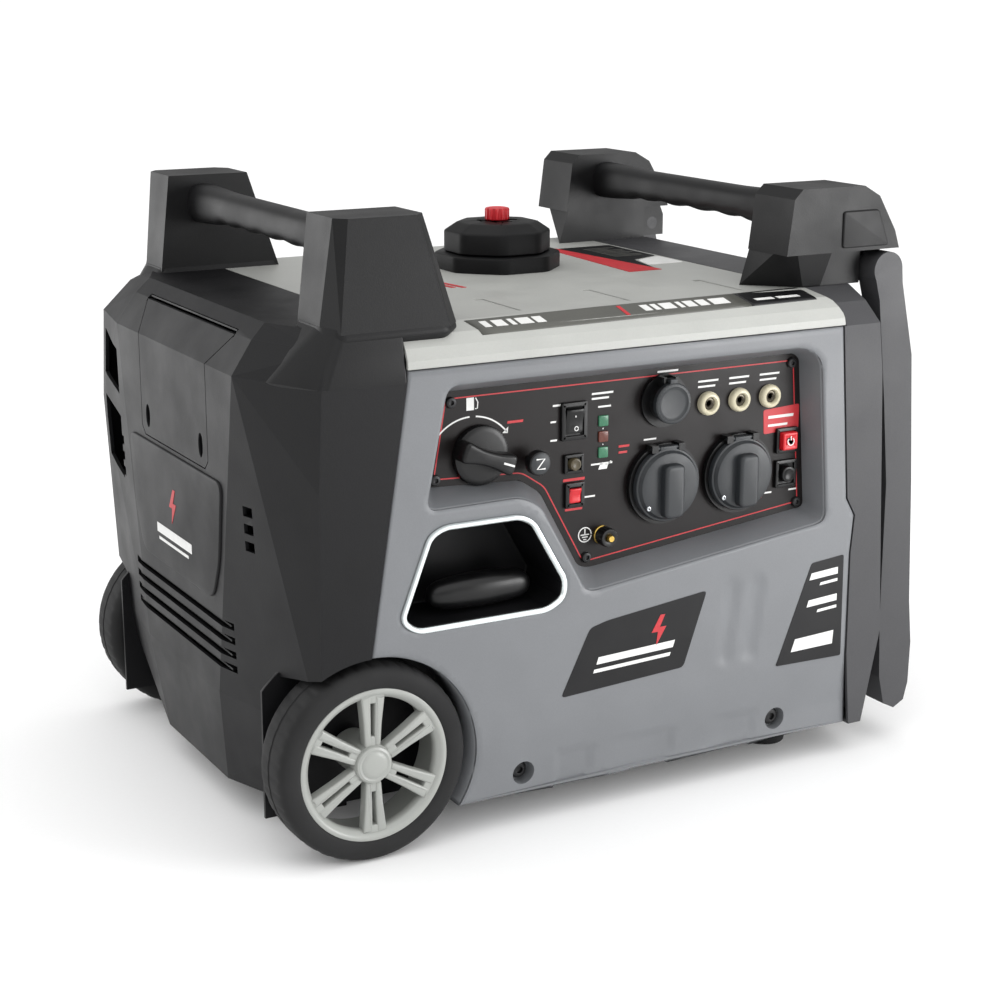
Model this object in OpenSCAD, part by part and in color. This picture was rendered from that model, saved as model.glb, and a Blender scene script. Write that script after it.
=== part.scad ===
// Portable inverter generator on two wheels, with a fold-out tow handle.
// Millimetres. +X points to the exhaust end, -X to the wheel end,
// -Y to the control panel side and +Z up. The origin is on the ground, under the middle.

/* [Enclosure] */
// Length between the two end faces
body_len = 572; // [560:1:760]
// Width over the two side shells
body_w = 436; // [420:1:560]
// Height of the underside above the ground
belly_z = 28; // [24:1:40]
// Height of the seam between side shells and top cover
seam_z = 386; // [380:1:430]
// Height of the top cover above that seam
cover_rise = 30; // [24:1:44]
// Wall thickness of the moulded shells
wall = 3; // [2:0.5:4]
// Gap between neighbouring shells
seam_gap = 0.6; // [0.3:0.1:1]

/* [Wheels] */
// Tyre diameter
wheel_d = 160; // [130:1:180]
// Tyre width
tyre_w = 44; // [36:1:50]
// Height of the tyre's side wall, from rim to tread
sidewall = 17.5; // [14:0.5:22]
// Axle diameter
axle_d = 16; // [12:1:20]
// Distance from the wheel centre to the left end face
wheel_setback = 74; // [66:1:96]
// Gap between the tyre and the wheel arch
arch_gap = 10; // [8:1:14]
// Number of double spokes
spokes = 6; // [5:1:8]

/* [Carrying handles] */
// Height of the tower tops above the ground
tower_top = 500; // [480:1:560]
// Thickness of the grip bars, top to bottom
grip_t = 34; // [26:1:38]
// Width of the grip bars
grip_w = 30; // [24:1:36]

/* [Tow handle] */
// Width of each tow handle arm across the machine
arm_w = 24; // [18:1:26]
// Diameter of the pivot pins
pivot_d = 12; // [8:1:16]

/* [Control panel] */
// Depth of the panel recess, front face to plate
recess_d = 25; // [20:1:30]
// Thickness of the panel plate
plate_t = 3; // [2:0.5:4]
// Diameter of the AC outlet flanges
outlet_d = 70; // [56:1:72]
// Diameter of the well in each AC outlet
outlet_well_d = 48; // [40:1:52]
// Inside diameter of the DC socket
dc_bore_d = 21; // [18:0.5:24]
// Inside diameter of the parallel terminals
jack_d = 4; // [3:0.5:6]

/* [Starter] */
// Depth of the starter pocket
pocket_d = 56; // [44:1:60]
// Diameter of the starter rope
rope_d = 4; // [3:0.5:5]
// Radius on which the rope winds
reel_r = 50; // [40:1:54]

/* [Fuel] */
// Diameter of the fuel cap over its corners
cap_d = 98; // [80:1:112]
// Diameter of the filler neck
neck_d = 56; // [44:1:60]
// Height of the fuel cap
cap_h = 27; // [20:1:28]
// Height of the flange under the fuel cap
flange_h = 14; // [8:1:16]

/* [Hidden] */
$fn = 48;

eps = 0.01;
fit = 0.05;                       // radial clearance of a running fit
end_shift = 18;                   // the enclosure's middle lies this far left of the origin
xl = -body_len / 2 - end_shift;   // left end face
xr = body_len / 2 - end_shift;    // right end face
yf = -body_w / 2;                 // front face of the front shell
cover_z = seam_z + cover_rise;    // top of the cover
wheel_r = wheel_d / 2;
rim_r = wheel_r - sidewall;        // where the tyre sits on the rim
hub_x = xl + wheel_setback;
wheel_face = -yf + 3;             // outer face of the tyres, from the middle
arch_r = wheel_r + arch_gap;
arch_z = wheel_r - 4;             // the arch centre lies a little below the hub
well_y = wheel_face - tyre_w - 9; // inner side wall of the wheel wells
plate_y = yf + recess_d;          // front face of the panel plate

// Seams between the side shells and the end shells, as [x, z] from the top down.
seam_left = [[xl + 108, seam_z], [xl + 73, 160], [xl + 73, belly_z]];
seam_right = [[xr - 59, seam_z], [xr - 48, 236], [xr - 39, 220], [xr - 42, 186],
              [xr - 41.5, 94], [xr - 36, belly_z]];
cover_x0 = xl + 107;
cover_x1 = xr - 57;
// The cover's right end, rounded from the seam up, as [x, z].
cover_end = [[cover_x1, seam_z], [cover_x1 - 2, seam_z + 11], [cover_x1 - 8, seam_z + 21],
             [cover_x1 - 24, cover_z + 1]];

// Panel recess at the front face, and the plate at its floor, as [x, z].
recess_top = seam_z - 15;
recess = [[-163, recess_top], [-182, 276], [-99, 277], [-81, 267], [-40, 193], [-31, 191],
          [199, 218], [188, 360], [171, recess_top]];
plate = [[-158, recess_top - 9], [-171, 288], [-88, 284], [-70, 272], [-34, 206], [-24, 203],
         [192, 227], [182, recess_top - 14], [176, recess_top - 9]];
plate_screws = [[-149, 353], [-163, 293], [-26, 212], [184, 232], [174, 354]];
skirt_screws = [[-96, belly_z + 16], [155, belly_z + 16]];

// Controls, as [x, z] on the plate.
knob_at = [-124, 309];
choke_at = [-79, 300];
eco_at = [-39, 327];
reset_at = [-39, 292];
parallel_at = [-38, 266];
lamps_at = [[-11, 324], [-11, 311], [-11, 298]];
ground_at = [-11, 229];
dc_at = [46, 335];
jacks_at = [[90, 328], [121, 328], [152, 328]];
outlets_at = [[46, 266], [120, 266]];
red_at = [171, 288];
black_at = [171, 259];
dc_r = dc_bore_d / 2 + 6.5;
hinge_r = 1.6;
outlet_hinge_y = plate_y - 8;

// Starter pocket outline at the front face, as [x, z].
pocket = [[-180, 256], [-168, 262], [-102, 262], [-90, 256], [-60, 204], [-62, 190], [-76, 182],
          [-192, 182], [-205, 192]];
rope_x = -126;
rope_z = 200;
pocket_back = yf + pocket_d;      // front face of the pocket's back wall

// Engine line: the crankshaft runs along Y.
crank_x = rope_x + reel_r;
crank_z = rope_z;
reel_y = pocket_back + wall + 13; // front face of the rope winding
rotor_y = reel_y + 34;            // front face of the rotor
crank_r = 10;

// Fuel filler
filler_x = 23;
filler_y = 46;
tank_z0 = 290;
tank_z1 = seam_z - 8;
fuel_cap_z = cover_z + flange_h + 0.4; // underside of the fuel cap
neck_z = fuel_cap_z + 7.6;             // rim of the filler neck, inside the cap

// Tow handle pivot and arms, as [x, z] from the top down.
pivot_x = xr - 4;
pivot_z = 428;
pivot_boss_r = 15;
pin_skin = 4;                     // what the arm leaves in front of its pin
cap_z = 446;                      // underside of the tower cap over the arm
arm_y = -yf - 13;                 // outer face of the arms, from the middle
arm_outline = [[pivot_x + pivot_boss_r, pivot_z], [xr + 12, 416], [xr + 26, 352], [xr + 33, 239],
               [xr + 38, 128], [xr + 42, 88], [xr + 41, 50], [xr + 37, 34], [xr + 26, belly_z],
               [xr + 14, 34], [xr + 8, 60], [xr + 5, 120], [xr + 5, 240], [xr - 2, 315],
               [pivot_x - 8, pivot_z - 26], [pivot_x - pivot_boss_r, pivot_z]];
lug_y = arm_y - arm_w - 2;        // outer face of the pivot lugs, from the middle
tower_y = yf + 68;                // inner face of the front towers, where the grips begin
web_x = xr - 63;
web_y = yf + 30;                  // the web beside the arm is set back to here

// Hatch in the left end, as [y, z] of its right half.
hatch_half = [[0, 293], [70, 293], [77, 300], [77, 378], [99, 403], [0, 403]];
hatch_gap = 1;
hatch_hinge_z = 403;
hatch_hinge_x = xl + 19.5;

// Service door in the rear shell
door_x0 = -150;
door_x1 = -10;
door_z0 = 74;
door_z1 = 196;

// ---------- helpers ----------

// Extrudes an outline drawn in X and Z from y0 to y1.
module along_y(y0, y1) {
    translate([0, y1, 0]) rotate([90, 0, 0]) linear_extrude(y1 - y0) children();
}

// Extrudes an outline drawn in Y and Z from x0 to x1.
module along_x(x0, x1) {
    translate([x0, 0, 0]) rotate([90, 0, 90]) linear_extrude(x1 - x0) children();
}

module rod_y(r, y0, y1, at) {
    translate([at[0], y0, at[1]]) rotate([-90, 0, 0]) cylinder(r = r, h = y1 - y0);
}

module rod_x(r, x0, x1, at) {
    translate([x0, at[0], at[1]]) rotate([0, 90, 0]) cylinder(r = r, h = x1 - x0);
}

module box(low, high) {
    translate(low) cube(high - low);
}

// The shape and its mirror image on the other side of the machine.
module both_sides() {
    children();
    mirror([0, 1, 0]) children();
}

module rounded(r) {
    offset(r = r) offset(delta = -r) children();
}

// ---------- enclosure ----------

// One level of an end shell: x of the flat face, its half width, and x at the corner.
// The rear corner may be fuller than the front one.
module level(z, face, half, corner, half_w, back, fuller = 0) {
    translate([0, 0, z]) linear_extrude(eps)
        polygon([[face, -half], [face, half], [corner - fuller, half_w - fuller / 3],
                 [corner, half_w], [back, half_w], [back, -half_w], [corner, -half_w]]);
}

module left_form(t) {
    w = body_w / 2 - t;
    back = xl + 130;
    hull() {
        level(belly_z + t, xl + 10 + t, 70, xl + 62 + t, w, back);
        level(110, xl + t, 84, xl + 31 + t, w, back, 12);
        level(300, xl + t, 120, xl + 33 + t, w, back, 24);
        level(378, xl + t, 134, xl + 37 + t, w, back, 24);
        level(404, xl + 18 + t, 132, xl + 46 + t, w - 12, back, 9);
        level(cover_z - t - eps, xl + 30 + t, 130, xl + 56 + t, w - 28, back);
    }
}

module right_form(t) {
    w = body_w / 2 - t;
    back = xr - 110;
    hull() {
        level(belly_z + t, xr - t - 4, 150, xr - 22 - t, w, back);
        level(110, xr - t, 150, xr - 5 - t, w, back);
        level(343, xr - t - 2, 150, xr - 16 - t, w, back);
        level(seam_z, xr - t - 8, 150, xr - 21 - t, w, back);
        level(404, xr - t - 12, 150, xr - 28 - t, w - 12, back);
        level(cover_z - t - eps, xr - t - 18, 150, xr - 34 - t, w - 28, back);
    }
}

// Everything between the two seams, up to and over the cover.
module between_seams(grow) {
    outline = concat([[cover_x0 - grow, cover_z + 1], [cover_x0 - grow, seam_z]],
                     [for (p = seam_left) [p[0] - grow, p[1]]],
                     [[seam_left[2][0] - grow, -1]], [[seam_right[5][0] + grow, -1]],
                     [for (i = [5:-1:0]) [seam_right[i][0] + grow, seam_right[i][1]]],
                     [for (p = cover_end) [p[0] + grow, p[1]]]);
    along_y(yf - 1, -yf + 1) polygon(outline);
}

module well_space(r) {
    for (s = [-1, 1])
        rod_y(r, min(s * well_y, s * (wheel_face + 2)), max(s * well_y, s * (wheel_face + 2)),
              [hub_x, arch_z]);
}

module grille_slots() {
    for (i = [0:3])
        box([xl - 5, -112, 133 + i * 12], [xl + 22, 112, 139 + i * 12]);
}

module end_vents() {
    for (s = [-1, 1])
        for (i = [0:2])
            translate([xl + 10, s * 142, 245 + i * 14]) cube([24, 12, 8], center = true);
}

// Two tall air inlets in the full rear corner
module inlet_windows() {
    for (z = [[238, 304], [314, 364]])
        along_x(xl - 5, xl + 24)
            polygon([[142, z[0]], [198, z[0] + 10], [198, z[1]], [142, z[1] - 10]]);
}

module hatch_outline(grow) {
    offset(delta = grow) polygon(concat(hatch_half,
        [for (i = [len(hatch_half) - 1:-1:0]) [-hatch_half[i][0], hatch_half[i][1]]]));
}

module left_end_shell() {
    color([0.2, 0.2, 0.21]) {
        difference() {
            left_form(0);
            difference() {
                left_form(wall);
                // The wells keep a liner inside the shell.
                well_space(arch_r + wall);
            }
            between_seams(seam_gap);
            well_space(arch_r);
            grille_slots();
            end_vents();
            inlet_windows();
            along_x(xl - 5, xl + 45) hatch_outline(hatch_gap);
            box([xl - 5, -100, hatch_hinge_z - 2], [xl + 45, 100, hatch_hinge_z + 4]);
        }
        // Side walls of the wheel wells
        both_sides()
            difference() {
                rod_y(arch_r + wall, well_y - wall, well_y, [hub_x, arch_z]);
                rod_y(axle_d / 2 + 4, well_y - wall - 1, well_y + 1, [hub_x, wheel_r]);
                box([hub_x - 200, 0, -100], [hub_x + 200, 300, belly_z + wall]);
                box([hub_x - 200, 0, 0], [xl + wall, 300, 300]);
            }
    }
}

module left_hatch() {
    color([0.23, 0.23, 0.24])
        intersection() {
            difference() {
                left_form(0);
                left_form(wall);
            }
            along_x(xl - 5, xl + 45) difference() {
                hatch_outline(0);
                for (s = [-1, 1])
                    translate([s * 62, 310]) scale([0.5, 1]) circle(r = 10, $fn = 24);
            }
        }
}

module exhaust_slots() {
    for (i = [0:7])
        box([xr - 15, -90, 170 + i * 16], [xr + 5, 90, 177 + i * 16]);
}

module right_end_shell() {
    color([0.2, 0.2, 0.21])
        difference() {
            right_form(0);
            right_form(wall);
            between_seams(seam_gap);
            exhaust_slots();
            rod_x(24, xr - 20, xr + 20, [90, 110]);
        }
}

module side_outline() {
    polygon(concat(seam_left, [for (i = [5:-1:0]) seam_right[i]]));
}

// A side shell without its openings, on the front side.
module plain_side_shell() {
    inner = yf + 22;
    difference() {
        union() {
            along_y(yf, yf + wall) side_outline();
            box([seam_left[2][0], yf, belly_z], [seam_right[5][0], inner, belly_z + wall]);
            box([seam_left[0][0], yf, seam_z - wall], [seam_right[0][0], inner, seam_z]);
            intersection() {
                rod_y(arch_r + wall, yf, -well_y - seam_gap, [hub_x, arch_z]);
                between_seams(0);
                box([xl, yf, belly_z], [xr, 0, seam_z]);
            }
            for (p = skirt_screws)
                rod_y(13, yf, yf + 18, [p[0], p[1] + 2]);
        }
        rod_y(arch_r, yf - 1, -well_y + 1, [hub_x, arch_z]);
        for (p = skirt_screws) {
            rod_y(10, yf - 1, yf + 14, [p[0], p[1] + 2]);
            rod_y(2.6, yf, yf + 30, [p[0], p[1] + 2]);
        }
    }
}

module front_shell() {
    color([0.59, 0.6, 0.61])
        difference() {
            union() {
                plain_side_shell();
                // Walls of the panel recess and the ledge behind the plate
                along_y(yf, plate_y + plate_t + wall) offset(delta = wall) polygon(recess);
            }
            along_y(yf - 1, plate_y) polygon(recess);
            along_y(plate_y - eps, plate_y + plate_t) offset(delta = 0.4) polygon(plate);
            along_y(plate_y, plate_y + plate_t + wall + 1) offset(delta = -11) polygon(plate);
            along_y(yf - 1, yf + 60) offset(delta = 0.3) polygon(pocket);
            switch_holes(plate_y, plate_y + 40, 1);
            for (p = plate_screws)
                rod_y(2.1, plate_y, plate_y + 40, p);
        }
}

module rear_shell() {
    color([0.59, 0.6, 0.61])
        difference() {
            mirror([0, 1, 0]) plain_side_shell();
            box([door_x0 - 1, -yf - 8, door_z0 - 3.5], [door_x1 + 1, -yf + 1, door_z1 + 1]);
            // Cooling slots beside the service door
            for (i = [0:6])
                box([50, -yf - 8, 90 + i * 15], [170, -yf + 1, 97 + i * 15]);
        }
}

module service_door() {
    color([0.55, 0.56, 0.57])
        difference() {
            box([door_x0, -yf - wall, door_z0], [door_x1, -yf, door_z1]);
            // Finger notch in the upper edge
            rod_y(14, -yf - wall - 1, -yf + 1, [(door_x0 + door_x1) / 2, door_z1 + 5]);
        }
}

module cover_profile(t) {
    w = body_w / 2 - t;
    z0 = t > 0 ? seam_z - 1 : seam_z + seam_gap;
    polygon([[-w, z0], [-w, seam_z + 7], [-w + 4, seam_z + 16 - t / 2], [-w + 12, seam_z + 24 - t],
             [-w + 28, cover_z - t], [w - 28, cover_z - t], [w - 12, seam_z + 24 - t],
             [w - 4, seam_z + 16 - t / 2], [w, seam_z + 7], [w, z0]]);
}

module top_cover() {
    color([0.72, 0.72, 0.7])
        difference() {
            intersection() {
                along_x(cover_x0, cover_x1) cover_profile(0);
                along_y(yf - 1, -yf + 1)
                    polygon(concat([[cover_x0, cover_z + 1], [cover_x0, seam_z]], cover_end));
            }
            along_x(cover_x0 - 1, cover_x1 + 1) cover_profile(wall);
            translate([filler_x, filler_y, seam_z]) cylinder(r = neck_d / 2 + 4, h = 60);
            // Three shallow grooves
            for (x = [-80, 21, 132])
                box([x - 4, -175, cover_z - 1], [x + 4, -110, cover_z + 1]);
        }
}

module base_tray() {
    color([0.15, 0.15, 0.16]) {
        z0 = belly_z + wall;
        difference() {
            union() {
                box([hub_x + arch_r + 8, yf + 24, z0], [xr - 42, -yf - 24, z0 + 4]);
                box([hub_x - 18, -well_y + 6, z0], [hub_x + arch_r + 8, well_y - 6, z0 + 4]);
                // Axle brackets
                both_sides()
                    box([hub_x - 18, 112, z0], [hub_x + 18, 122, wheel_r + 18]);
                // Engine mounting blocks
                for (x = [crank_x - 40, crank_x + 40])
                    for (y = [-30, 60])
                        box([x - 12, y - 12, z0], [x + 12, y + 12, 110]);
            }
            rod_y(axle_d / 2, -200, 200, [hub_x, wheel_r]);
        }
    }
}

module rubber_feet() {
    color([0.1, 0.1, 0.1])
        for (y = [-150, 150])
            translate([xr - 78, y, 0]) {
                cylinder(r1 = 18, r2 = 20, h = 6, $fn = 48);
                translate([0, 0, 6]) cylinder(r = 20, h = belly_z + wall - 6);
            }
}

// ---------- handles ----------

// A thin level slab with the given outline, for a hull.
module slab(z, outline) {
    translate([0, 0, z]) linear_extrude(eps) polygon(outline);
}

module handle_towers() {
    color([0.24, 0.24, 0.25])
        both_sides() {
            // Left tower: a tapered block with chamfered corners
            hull() {
                slab(cover_z, [[xl + 48, yf + 28], [xl + 56, yf + 6], [xl + 146, yf + 6],
                               [xl + 159, yf + 22], [xl + 159, tower_y], [xl + 48, tower_y]]);
                slab(tower_top - eps, [[xl + 58, yf + 22], [xl + 66, yf + 12], [xl + 122, yf + 12],
                                       [xl + 131, yf + 22], [xl + 131, tower_y],
                                       [xl + 58, tower_y]]);
            }
            // Right tower: a leg that leans forward, its web, and a cap over the arm
            hull() {
                slab(cover_z, [[xr - 119, tower_y], [xr - 81, web_y], [web_x, web_y],
                               [web_x, tower_y]]);
                slab(cap_z + 6, [[xr - 108, tower_y], [xr - 108, yf + 26], [xr - 100, yf + 15],
                                 [web_x + 2, yf + 15], [web_x + 2, tower_y]]);
            }
            box([web_x - 1, web_y, cover_z], [xr - 22, tower_y, cap_z + 6]);
            along_y(yf + 13, tower_y)
                polygon([[xr - 111, cap_z], [xr - 105, tower_top - 8], [xr - 97, tower_top],
                         [xr - 33, tower_top], [xr - 17, tower_top - 9], [xr + 1, tower_top - 39],
                         [xr + 6, cap_z]]);
            // Lug that carries the pivot pin, behind the arm
            difference() {
                along_y(-lug_y, -lug_y + 16)
                    polygon([[xr - 23, cover_z], [xr - 23, cap_z + 4], [xr + 3, cap_z + 4],
                             [pivot_x + 13, pivot_z + 8], [pivot_x + 13, pivot_z - 12],
                             [xr - 10, cover_z]]);
                rod_y(pivot_d / 2, -lug_y - 1, -lug_y + 17, [pivot_x, pivot_z]);
            }
        }
}

// A grip bar between two towers: flat sides and round top and bottom edges.
module grip_bar(x) {
    r = grip_w / 2;
    z1 = tower_top - 8;
    z0 = z1 - grip_t;
    y1 = -tower_y;
    rod_y(r, -y1, y1, [x, z1 - r]);
    rod_y(r, -y1, y1, [x, z0 + r]);
    box([x - r, -y1, z0 + r], [x + r, y1, z1 - r]);
}

module carry_grips() {
    color([0.22, 0.22, 0.23]) {
        grip_bar(xl + 90);
        grip_bar(xr - 66);
    }
}

module tow_handle() {
    color([0.25, 0.25, 0.26])
        difference() {
            union() {
                both_sides() {
                    along_y(-arm_y, -arm_y + arm_w) polygon(arm_outline);
                    rod_y(pivot_boss_r, -arm_y, -arm_y + arm_w, [pivot_x, pivot_z]);
                }
                // Cross grip
                rod_y(13, -arm_y + arm_w - 1, arm_y - arm_w + 1, [xr + 27.5, 47]);
            }
            both_sides()
                rod_y(pivot_d / 2 + fit, -arm_y + pin_skin - fit, -arm_y + arm_w + 1,
                      [pivot_x, pivot_z]);
        }
}

module tow_pivots() {
    color([0.6, 0.6, 0.62])
        both_sides()
            rod_y(pivot_d / 2, -arm_y + pin_skin, -lug_y + 16, [pivot_x, pivot_z]);
}

// ---------- wheels ----------

module axle() {
    color([0.6, 0.6, 0.6])
        rod_y(axle_d / 2, -wheel_face + 9, wheel_face - 9, [hub_x, wheel_r]);
}

// Turns a profile drawn as [radius, depth from the outer face] about the axle, front side.
module about_axle() {
    translate([hub_x, -wheel_face, wheel_r]) rotate([-90, 0, 0]) rotate_extrude($fn = 64)
        children();
}

module tyre() {
    color([0.08, 0.08, 0.08])
        about_axle()
            polygon([[rim_r, 2], [rim_r + 6, 0], [wheel_r - 6, 1.5], [wheel_r - 1.5, 6],
                     [wheel_r, 12], [wheel_r, tyre_w - 12], [wheel_r - 1.5, tyre_w - 6],
                     [wheel_r - 6, tyre_w - 1.5], [rim_r + 6, tyre_w],
                     [rim_r, tyre_w - 2]]);
}

module rim() {
    hub_r = axle_d / 2 + 8;
    barrel_r = rim_r - 7;
    color([0.7, 0.71, 0.7]) {
        about_axle()
            polygon([[barrel_r, 3], [rim_r, 2], [rim_r, tyre_w - 2],
                     [rim_r - 4, tyre_w - 2], [rim_r - 4, 14], [barrel_r, 12]]);
        about_axle()
            polygon([[axle_d / 2 + fit, 10], [hub_r, 6], [hub_r, tyre_w + 2],
                     [axle_d / 2 + fit, tyre_w + 2]]);
        for (i = [0:spokes - 1])
            translate([hub_x, -wheel_face, wheel_r]) rotate([0, i * 360 / spokes + 30, 0])
                difference() {
                    box([hub_r - 0.5, 4, -8], [barrel_r + 1, 12, 8]);
                    box([hub_r + 6, 0, -1.6], [barrel_r - 5, 13, 1.6]);
                }
    }
}

module hub_cap() {
    color([0.66, 0.67, 0.66])
        about_axle()
            polygon([[0, 0.5], [11, 0.5], [axle_d / 2 + 7, 2.5], [axle_d / 2 + 7, 6], [0, 6]]);
}

// ---------- control panel ----------

module panel_plate() {
    y1 = plate_y + plate_t;
    color([0.13, 0.11, 0.11])
        difference() {
            along_y(plate_y, y1) polygon(plate);
            for (p = plate_screws)
                rod_y(2.1, plate_y - 1, y1 + 1, p);
            rod_y(4 + fit, plate_y - 1, y1 + 1, knob_at);
            rod_y(3.5 + fit, plate_y - 1, y1 + 1, choke_at);
            switch_holes(plate_y - 1, y1 + 1);
            for (p = lamps_at)
                box([p[0] - 4.5, plate_y - 1, p[1] - 4.5], [p[0] + 4.5, y1 + 1, p[1] + 4.5]);
            rod_y(3, plate_y - 1, y1 + 1, ground_at);
            rod_y(dc_r - 2, plate_y - 1, y1 + 1, dc_at);
            for (p = jacks_at)
                rod_y(6, plate_y - 1, y1 + 1, p);
            for (p = outlets_at)
                rod_y(outlet_well_d / 2 + 3, plate_y - 1, y1 + 1, p);
        }
}

// [place, half width, half height] of each switch opening
switch_list = [[eco_at, 12, 15.5], [reset_at, 9, 8], [parallel_at, 9, 10.5], [red_at, 11, 11],
               [black_at, 11, 12]];

module switch_holes(y0, y1, grow = 0) {
    for (s = switch_list) {
        hw = s[1] - 2 + grow;
        hh = s[2] - 2 + grow;
        box([s[0][0] - hw, y0, s[0][1] - hh], [s[0][0] + hw, y1, s[0][1] + hh]);
    }
}

module switch_bezels() {
    y0 = plate_y - 3;
    y1 = plate_y + 20;
    color([0.07, 0.07, 0.07])
        difference() {
            union() {
                for (s = switch_list)
                    box([s[0][0] - s[1], y0, s[0][1] - s[2]], [s[0][0] + s[1], plate_y, s[0][1] + s[2]]);
                switch_holes(plate_y - 1, y1);
            }
            // Rocker pockets
            for (s = [switch_list[0], switch_list[2]])
                box([s[0][0] - s[1] + 3.5, y0 - 1, s[0][1] - s[2] + 3.5],
                    [s[0][0] + s[1] - 3.5, y1 - 2, s[0][1] + s[2] - 3.5]);
            rod_y(5.5, y0 - 1, y1 - 2, reset_at);
            box([red_at[0] - 8, y0 - 1, red_at[1] - 8], [red_at[0] + 8, y1 - 2, red_at[1] + 8]);
            rod_y(7.5, y0 - 1, y1 - 2, black_at);
        }
}

// A rocker that tilts about X; half width hw and half height hh.
module rocker(at, hw, hh) {
    translate([at[0], plate_y + 4, at[1]]) rotate([-8, 0, 0])
        along_x(-hw, hw)
            polygon([[4, -hh * 0.5], [-4, -hh], [-8, -hh], [-6.5, 0], [-8, hh], [-4, hh],
                     [4, hh * 0.5]]);
}

module eco_rocker() {
    color([0.09, 0.09, 0.09]) rocker(eco_at, 8, 10);
}

module parallel_rocker() {
    color([0.78, 0.12, 0.14]) rocker(parallel_at, 5, 5.5);
}

module reset_button() {
    color([0.3, 0.27, 0.2]) {
        rod_y(5.2, plate_y - 6, plate_y + 12, reset_at);
    }
}

module red_breaker() {
    color([0.8, 0.1, 0.12])
        box([red_at[0] - 7.6, plate_y - 8, red_at[1] - 7.6],
            [red_at[0] + 7.6, plate_y + 12, red_at[1] + 7.6]);
}

module black_breaker() {
    color([0.08, 0.08, 0.08]) rod_y(7.1, plate_y - 7, plate_y + 12, black_at);
}

module engine_knob() {
    x = knob_at[0];
    z = knob_at[1];
    color([0.06, 0.06, 0.06]) {
        rod_y(24, plate_y - 6, plate_y - 0.4, knob_at);
        rod_y(4, plate_y - 1, plate_y + 16, knob_at);
        translate([x, plate_y - 20, z]) rotate([0, 20, 0]) box([-24, 0, -7], [24, 14 + eps, 7]);
    }
}

module choke_knob() {
    color([0.08, 0.08, 0.08]) {
        rod_y(3.5, plate_y - 12, plate_y + 24, choke_at);
        rod_y(10, plate_y - 18, plate_y - 10, choke_at);
    }
}

module indicator_lamps() {
    color([0.2, 0.5, 0.4])
        for (p = lamps_at)
            box([p[0] - 4.5, plate_y - 1.5, p[1] - 4.5], [p[0] + 4.5, plate_y + 6, p[1] + 4.5]);
}

module ground_stud() {
    color([0.7, 0.62, 0.35]) {
        rod_y(3, plate_y - 16, plate_y + 10, ground_at);
        rod_y(8, plate_y - 2, plate_y, ground_at);
    }
}

module ground_nut() {
    color([0.1, 0.1, 0.1])
        difference() {
            rod_y(8, plate_y - 13, plate_y - 2.3, ground_at);
            rod_y(3 + fit, plate_y - 14, plate_y, ground_at);
            for (i = [0:7])
                translate([ground_at[0], plate_y - 14, ground_at[1]]) rotate([0, i * 45, 0])
                    translate([8.6, 0, 0]) rotate([-90, 0, 0]) cylinder(r = 1.6, h = 14, $fn = 16);
        }
}

module dc_socket() {
    tip = plate_y - 11;
    color([0.07, 0.07, 0.07])
        difference() {
            union() {
                rod_y(dc_r + 5, plate_y - 3, plate_y, dc_at);
                rod_y(dc_r - 2, tip, plate_y + 34, dc_at);
                // Hinge ears
                for (s = [-1, 1])
                    box([dc_at[0] + s * 5.5 - 1.5, tip - 1, dc_at[1] + dc_r - 4],
                        [dc_at[0] + s * 5.5 + 1.5, plate_y - 1, dc_at[1] + dc_r + 4]);
            }
            rod_y(dc_bore_d / 2, tip - 1, plate_y + 32, dc_at);
            rod_x(hinge_r + fit, dc_at[0] - 20, dc_at[0] + 20, [tip + 1, dc_at[1] + dc_r + 1.5]);
        }
}

module dc_cap() {
    tip = plate_y - 11;
    hinge = [tip + 1, dc_at[1] + dc_r + 1.5];
    color([0.14, 0.14, 0.14]) {
        difference() {
            rod_y(dc_r, tip - 6, tip - 0.4, dc_at);
            for (s = [-1, 1])
                box([dc_at[0] + s * 5.5 - 2, tip - 2.5, dc_at[1] + dc_r - 5],
                    [dc_at[0] + s * 5.5 + 2, tip + 1, dc_at[1] + dc_r + 5]);
        }
        rod_x(hinge_r, dc_at[0] - 7, dc_at[0] + 7, hinge);
        box([dc_at[0] - 3.4, tip - 5, dc_at[1] + dc_r - 3],
            [dc_at[0] + 3.4, tip - 0.4, hinge[1] + hinge_r]);
        box([dc_at[0] - 3.4, tip - 0.5, hinge[1] - hinge_r],
            [dc_at[0] + 3.4, hinge[0] + hinge_r, hinge[1] + hinge_r]);
    }
}

module parallel_terminals() {
    color([0.75, 0.7, 0.55])
        difference() {
            union()
                for (p = jacks_at) {
                    rod_y(10, plate_y - 5, plate_y, p);
                    rod_y(6, plate_y - 1, plate_y + 24, p);
                }
            for (p = jacks_at)
                rod_y(jack_d / 2, plate_y - 6, plate_y + 18, p);
        }
}

module ac_outlets() {
    color([0.07, 0.07, 0.07])
        for (p = outlets_at)
            difference() {
                union() {
                    rod_y(outlet_d / 2 - 1, plate_y - 5, plate_y, p);
                    rod_y(outlet_well_d / 2 + 3, plate_y - 1, plate_y + 26, p);
                    for (s = [-1, 1])
                        box([p[0] + s * 13 - 3, outlet_hinge_y - 2.5, p[1] + outlet_d / 2 - 7],
                            [p[0] + s * 13 + 3, plate_y - 1, p[1] + outlet_d / 2 - 1]);
                }
                rod_y(outlet_well_d / 2, plate_y - 10, plate_y + 14, p);
                for (a = [0, 180])
                    translate([p[0], 0, p[1]]) rotate([0, a, 0])
                        rod_y(2.5, plate_y, plate_y + 22, [9.5, 0]);
                rod_x(hinge_r + fit, p[0] - 30, p[0] + 30, [outlet_hinge_y, p[1] + outlet_d / 2 - 4]);
            }
}

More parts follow.
